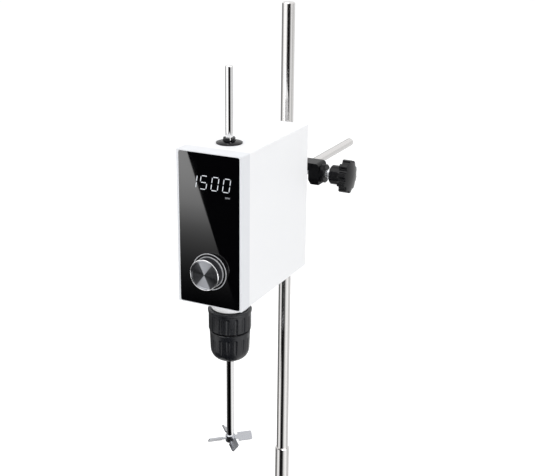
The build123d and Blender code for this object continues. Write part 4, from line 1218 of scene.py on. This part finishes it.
    def build_sheen(self) -> None:
        """The slanting soft card whose edge runs across the glass panel."""
        card = new_piece(
            "card_sheen", [(x, self.sheen_depth, z) for x, z in self.sheen_corners], [(0, 1, 2, 3)]
        )
        material, graph = blank_material("Sheen card")
        place = graph.add("ShaderNodeTexCoord").outputs["Object"]
        parts = graph.add("ShaderNodeSeparateXYZ")
        graph.join(place, parts.inputs[0])
        tones = graph.add("ShaderNodeFloatCurve")
        low, high = self.sheen_tones[0][0], self.sheen_tones[-1][0]
        top = max(tone for _, tone in self.sheen_tones)
        curve = tones.mapping.curves[0]
        marks = [((z - low) / (high - low), tone / top) for z, tone in self.sheen_tones]
        curve.points[0].location, curve.points[-1].location = marks[0], marks[-1]
        for mark in marks[1:-1]:
            curve.points.new(*mark)
        tones.mapping.update()
        span = graph.add("ShaderNodeMapRange")
        graph.feed(span, Value=parts.outputs[2], From_Min=low, From_Max=high)
        graph.join(span.outputs["Result"], tones.inputs["Value"])
        light = graph.add("ShaderNodeEmission")
        graph.join(graph.math("MULTIPLY", tones.outputs[0], top), light.inputs["Strength"])
        graph.join(light.outputs[0], graph.add("ShaderNodeOutputMaterial").inputs["Surface"])
        card.data.materials.append(material)
        hide_from_all_but_gloss(card)

    def build_lamp(self, name: str, place: Point, target: Point, size: float, power: float) -> None:
        """Make a soft square lamp.

        Args:
            name: the lamp's name.
            place: where it hangs.
            target: the point that it faces.
            size: length of its side in metres.
            power: its power in watts.
        """
        data = bpy.data.lights.new(name, "AREA")
        data.size, data.energy = size, power
        lamp = bpy.data.objects.new(name, data)
        bpy.context.scene.collection.objects.link(lamp)
        lamp.location = place
        lamp.rotation_euler = (Vector(target) - Vector(place)).to_track_quat("-Z", "Y").to_euler()

    def build_camera(self) -> None:
        """Make the camera at its fitted place and angle."""
        yaw, pitch, roll = self.camera_yaw, self.camera_pitch, self.camera_roll
        level = math.cos(pitch)
        ahead = Vector((math.sin(yaw) * level, math.cos(yaw) * level, -math.sin(pitch)))
        right = Vector((math.cos(yaw), -math.sin(yaw), 0.0))
        up = right.cross(ahead)
        tilted_right = right * math.cos(roll) + up * math.sin(roll)
        tilted_up = up * math.cos(roll) - right * math.sin(roll)
        turn = Matrix((tilted_right, tilted_up, -ahead)).transposed().to_4x4()
        data = bpy.data.cameras.new("camera")
        data.lens, data.sensor_width = self.camera_lens, self.camera_sensor
        camera = bpy.data.objects.new("camera", data)
        bpy.context.scene.collection.objects.link(camera)
        camera.matrix_world = Matrix.Translation(Vector(self.camera_place)) @ turn
        bpy.context.scene.camera = camera

    def build(self) -> None:
        """Set up the whole studio."""
        bpy.context.scene.view_settings.view_transform = "Standard"
        self.build_camera()
        self.build_world()
        self.build_floor()
        self.build_sheen()
        for flag in self.flags:
            flag.build()
        self.build_lamp("lamp_top", (-0.5, -0.5, 2.2), (0.0, 0.0, 0.4), 1.6, 14.0)
        self.build_lamp("lamp_right", (2.0, -0.4, 1.2), (0.0, 0.0, 0.45), 1.4, 8.0)


def main() -> None:
    """Build the studio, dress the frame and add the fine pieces."""
    logging.basicConfig(level=logging.INFO, format="%(message)s")
    Studio().build()
    palette = Palette(Effects())
    palette.dress_frame()
    for assembly in (Display(palette), KnobDetail(palette), ClampThreads(palette)):
        for piece in assembly.build():
            faces = len(piece.data.polygons)
            LOG.info("%s: %s, %d faces", type(assembly).__name__, piece.name, faces)
    bpy.context.view_layer.update()


if __name__ == "__main__":
    main()
